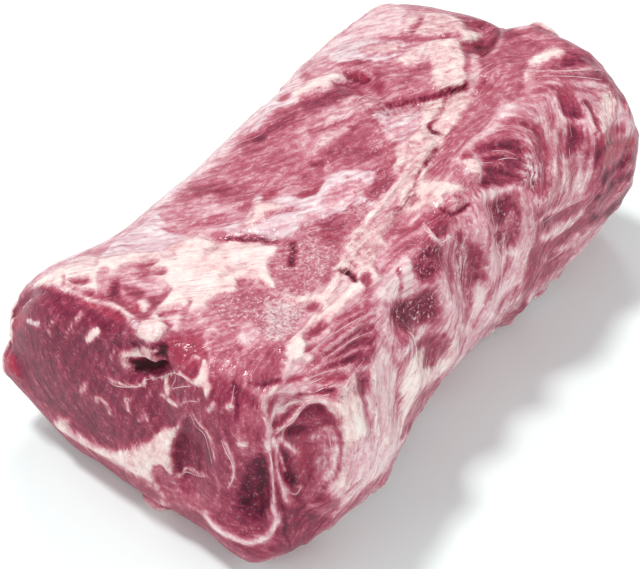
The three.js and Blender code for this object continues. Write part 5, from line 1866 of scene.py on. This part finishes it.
@dataclass
class Threads:
    """The white threads: those that the photograph shows, and fine ones strewn along the fibres."""

    slab: Slab
    seed: int = 7
    strewn: int = 620
    step: float = 1.3  # millimetres between the points of a strewn thread
    sides: int = 1
    sunk: float = 0.25  # share of its radius that a thread's middle lies under the surface
    skin: BVHTree | None = None

    def _traced(self, thread: Thread) -> tuple[list[Vector], list[float]]:
        """Follow a thread of the photograph over the slab.

        Args:
            thread: The thread's path in pixels.

        Returns:
            The points of its middle line, and its radius at each, in millimetres.
        """
        eye = Vector(VIEW.eye() - self.slab.middle)
        points = []
        for pixel in rounded_path(trace(thread.path), closed=False, steps=5):
            hit, normal, _, _ = self.skin.ray_cast(eye, Vector(VIEW.ray(pixel)))
            if hit is not None:
                points.append(hit - normal * thread.width * self.sunk / 2)
        return points, self._tapered(len(points), thread.width / 2)

    @staticmethod
    def _tapered(count: int, radius: float) -> list[float]:
        """Thin a thread towards its ends."""
        return [radius * (0.25 + 0.75 * math.sin(math.pi * (at + 0.5) / count) ** 0.6) for at in range(count)]

    def _grown(self, start: int, length: float, width: float) -> tuple[list[Vector], list[float]]:
        """Run a fine thread along the fibres from one of the slab's points.

        Args:
            start: The number of the point.
            length: How long the thread is, in millimetres.
            width: How thick it is.

        Returns:
            The points of its middle line, and its radius at each.
        """
        place = Vector(self.slab.points[start])
        heading = Vector(self.slab.grain[start])
        points = []
        for _ in range(int(length / self.step)):
            hit, normal, face, _ = self.skin.find_nearest(place)
            corner = self.slab.piece.data.polygons[face].vertices[0]
            along = Vector(self.slab.grain[corner])
            if along.dot(heading) < 0:
                along.negate()
            heading = (heading * 0.4 + along * 0.6).normalized()
            points.append(hit - normal * width * self.sunk / 2)
            place = hit + heading * self.step
        return points, self._tapered(len(points), width / 2)

    def build(self) -> bpy.types.Object:
        """Draw every thread and join them into one mesh.

        Returns:
            The threads' object.
        """
        mesh = self.slab.piece.data
        corners = [tuple(point) for point in self.slab.points]
        self.skin = BVHTree.FromPolygons(corners, [tuple(face.vertices) for face in mesh.polygons])
        curve = bpy.data.curves.new("threads", "CURVE")
        curve.dimensions = "3D"
        curve.bevel_depth = MM
        curve.bevel_resolution = self.sides
        curve.use_fill_caps = True
        draw = np.random.default_rng(self.seed)
        chance = self.slab.room_for_threads()
        starts = draw.choice(len(chance), self.strewn, replace=False, p=chance / chance.sum())
        lines = [self._traced(thread) for thread in THREADS]
        for start in starts:
            lines.append(self._grown(int(start), float(draw.uniform(6, 20)), float(draw.uniform(0.2, 0.5))))
        for points, radii in lines:
            if len(points) < 3:
                continue
            spline = curve.splines.new("POLY")
            spline.points.add(len(points) - 1)
            for knot, point, radius in zip(spline.points, points, radii):
                knot.co = (*(point * MM), 1.0)
                knot.radius = radius
        holder = bpy.data.objects.new("threads_line", curve)
        bpy.context.scene.collection.objects.link(holder)
        made = bpy.data.meshes.new_from_object(holder.evaluated_get(bpy.context.evaluated_depsgraph_get()))
        bpy.data.objects.remove(holder)
        made.shade_smooth()
        piece = bpy.data.objects.new("threads", made)
        bpy.context.scene.collection.objects.link(piece)
        return piece


@dataclass(frozen=True)
class ThreadFinish:
    """Pale wet gristle."""

    light: str = "e4c3c8"
    dark: str = "c98b99"

    def make(self) -> bpy.types.Material:
        """Build the material."""
        sheet = Sheet("gristle_thread")
        patches = sheet.step(sheet.noise(sheet.place(), 6.0, 2.0), 0.38, 0.62)
        colour = sheet.blend(patches, linear(self.light), linear(self.dark))
        sheet.feed(sheet.shader.inputs["Base Color"], colour)
        sheet.feed(sheet.shader.inputs["Roughness"], sheet.step(patches, 0.0, 1.0, 0.25, 0.4))
        return sheet.material


# ------------------------------------------------------------------------------ the studio
@dataclass(frozen=True)
class Lamp:
    """A far lamp: where its light comes from, its power, and how many degrees it spans."""

    name: str
    start: tuple[float, float, float]
    power: float
    span: float


@dataclass(frozen=True)
class Studio:
    """A pale floor, a lamp high over the cap side, four weak ones, a white room and the photo's camera."""

    floor_reach: float = 6.0
    floor_drop: float = 0.0004
    lamps: tuple[Lamp, ...] = (
        Lamp("key", (-0.05, 0.36, 0.93), 1.6, 10.0),
        Lamp("gleam", (0.55, 0.42, 0.75), 0.4, 12.0),
        Lamp("glow", (0.35, -0.8, 0.7), 0.35, 40.0),
        Lamp("fill", (-0.62, -0.75, 0.3), 0.6, 30.0),
        Lamp("left", (-0.8, 0.45, 0.55), 0.4, 30.0),
    )
    sky: float = 0.5

    def camera(self, middle: np.ndarray) -> None:
        """Put the camera where the photograph was taken from."""
        right, up, ahead = VIEW.axes()
        lens = bpy.data.cameras.new("camera")
        lens.sensor_width = VIEW.sensor
        lens.lens = VIEW.focal_px * VIEW.sensor / VIEW.width_px
        lens.clip_end = 20.0
        holder = bpy.data.objects.new("camera", lens)
        turn = Matrix([[*row] for row in np.stack([right, up, -ahead], axis=1)])
        holder.matrix_world = Matrix.Translation(Vector((VIEW.eye() - middle) * MM)) @ turn.to_4x4()
        bpy.context.scene.collection.objects.link(holder)
        bpy.context.scene.camera = holder

    def floor(self) -> None:
        """Lay the pale floor."""
        work = bmesh.new()
        bmesh.ops.create_grid(work, x_segments=1, y_segments=1, size=self.floor_reach)
        bmesh.ops.translate(work, verts=work.verts, vec=(0.0, 0.0, -self.floor_drop))
        mesh = bpy.data.meshes.new("floor")
        work.to_mesh(mesh)
        work.free()
        ground = bpy.data.objects.new("floor", mesh)
        bpy.context.scene.collection.objects.link(ground)
        sheet = Sheet("pale_floor")
        sheet.shader.inputs["Base Color"].default_value = (0.89, 0.975, 0.963, 1.0)
        sheet.shader.inputs["Roughness"].default_value = 0.9
        sheet.shader.inputs["Specular IOR Level"].default_value = 0.1
        mesh.materials.append(sheet.material)

    def light(self) -> None:
        """Hang the lamps, and let a white room fill the shade."""
        for lamp in self.lamps:
            light = bpy.data.lights.new(lamp.name, "SUN")
            light.angle = math.radians(lamp.span)
            light.energy = lamp.power
            holder = bpy.data.objects.new(lamp.name, light)
            turn = (-Vector(lamp.start)).to_track_quat("-Z", "Y")
            holder.matrix_world = Matrix.Translation(Vector(lamp.start)) @ turn.to_matrix().to_4x4()
            bpy.context.scene.collection.objects.link(holder)
        world = bpy.data.worlds.new("room")
        world.use_nodes = True
        background = world.node_tree.nodes["Background"]
        background.inputs["Color"].default_value = (1.0, 1.0, 1.0, 1.0)
        background.inputs["Strength"].default_value = self.sky
        bpy.context.scene.world = world
        bpy.context.scene.view_settings.view_transform = "Standard"


def main() -> None:
    """Build the slab and its studio in order, and report each piece."""
    logging.basicConfig(level=logging.INFO, format="%(name)s: %(message)s")
    slab = Slab()
    piece = slab.build()
    slab.dress(BeefFinish())
    LOG.info("slab: %d faces", len(piece.data.polygons))
    threads = Threads(slab).build()
    threads.data.materials.append(ThreadFinish().make())
    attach(threads, BODY)
    LOG.info("threads: %d faces", len(threads.data.polygons))
    studio = Studio()
    studio.camera(slab.middle)
    studio.floor()
    studio.light()


if __name__ == "__main__":
    main()
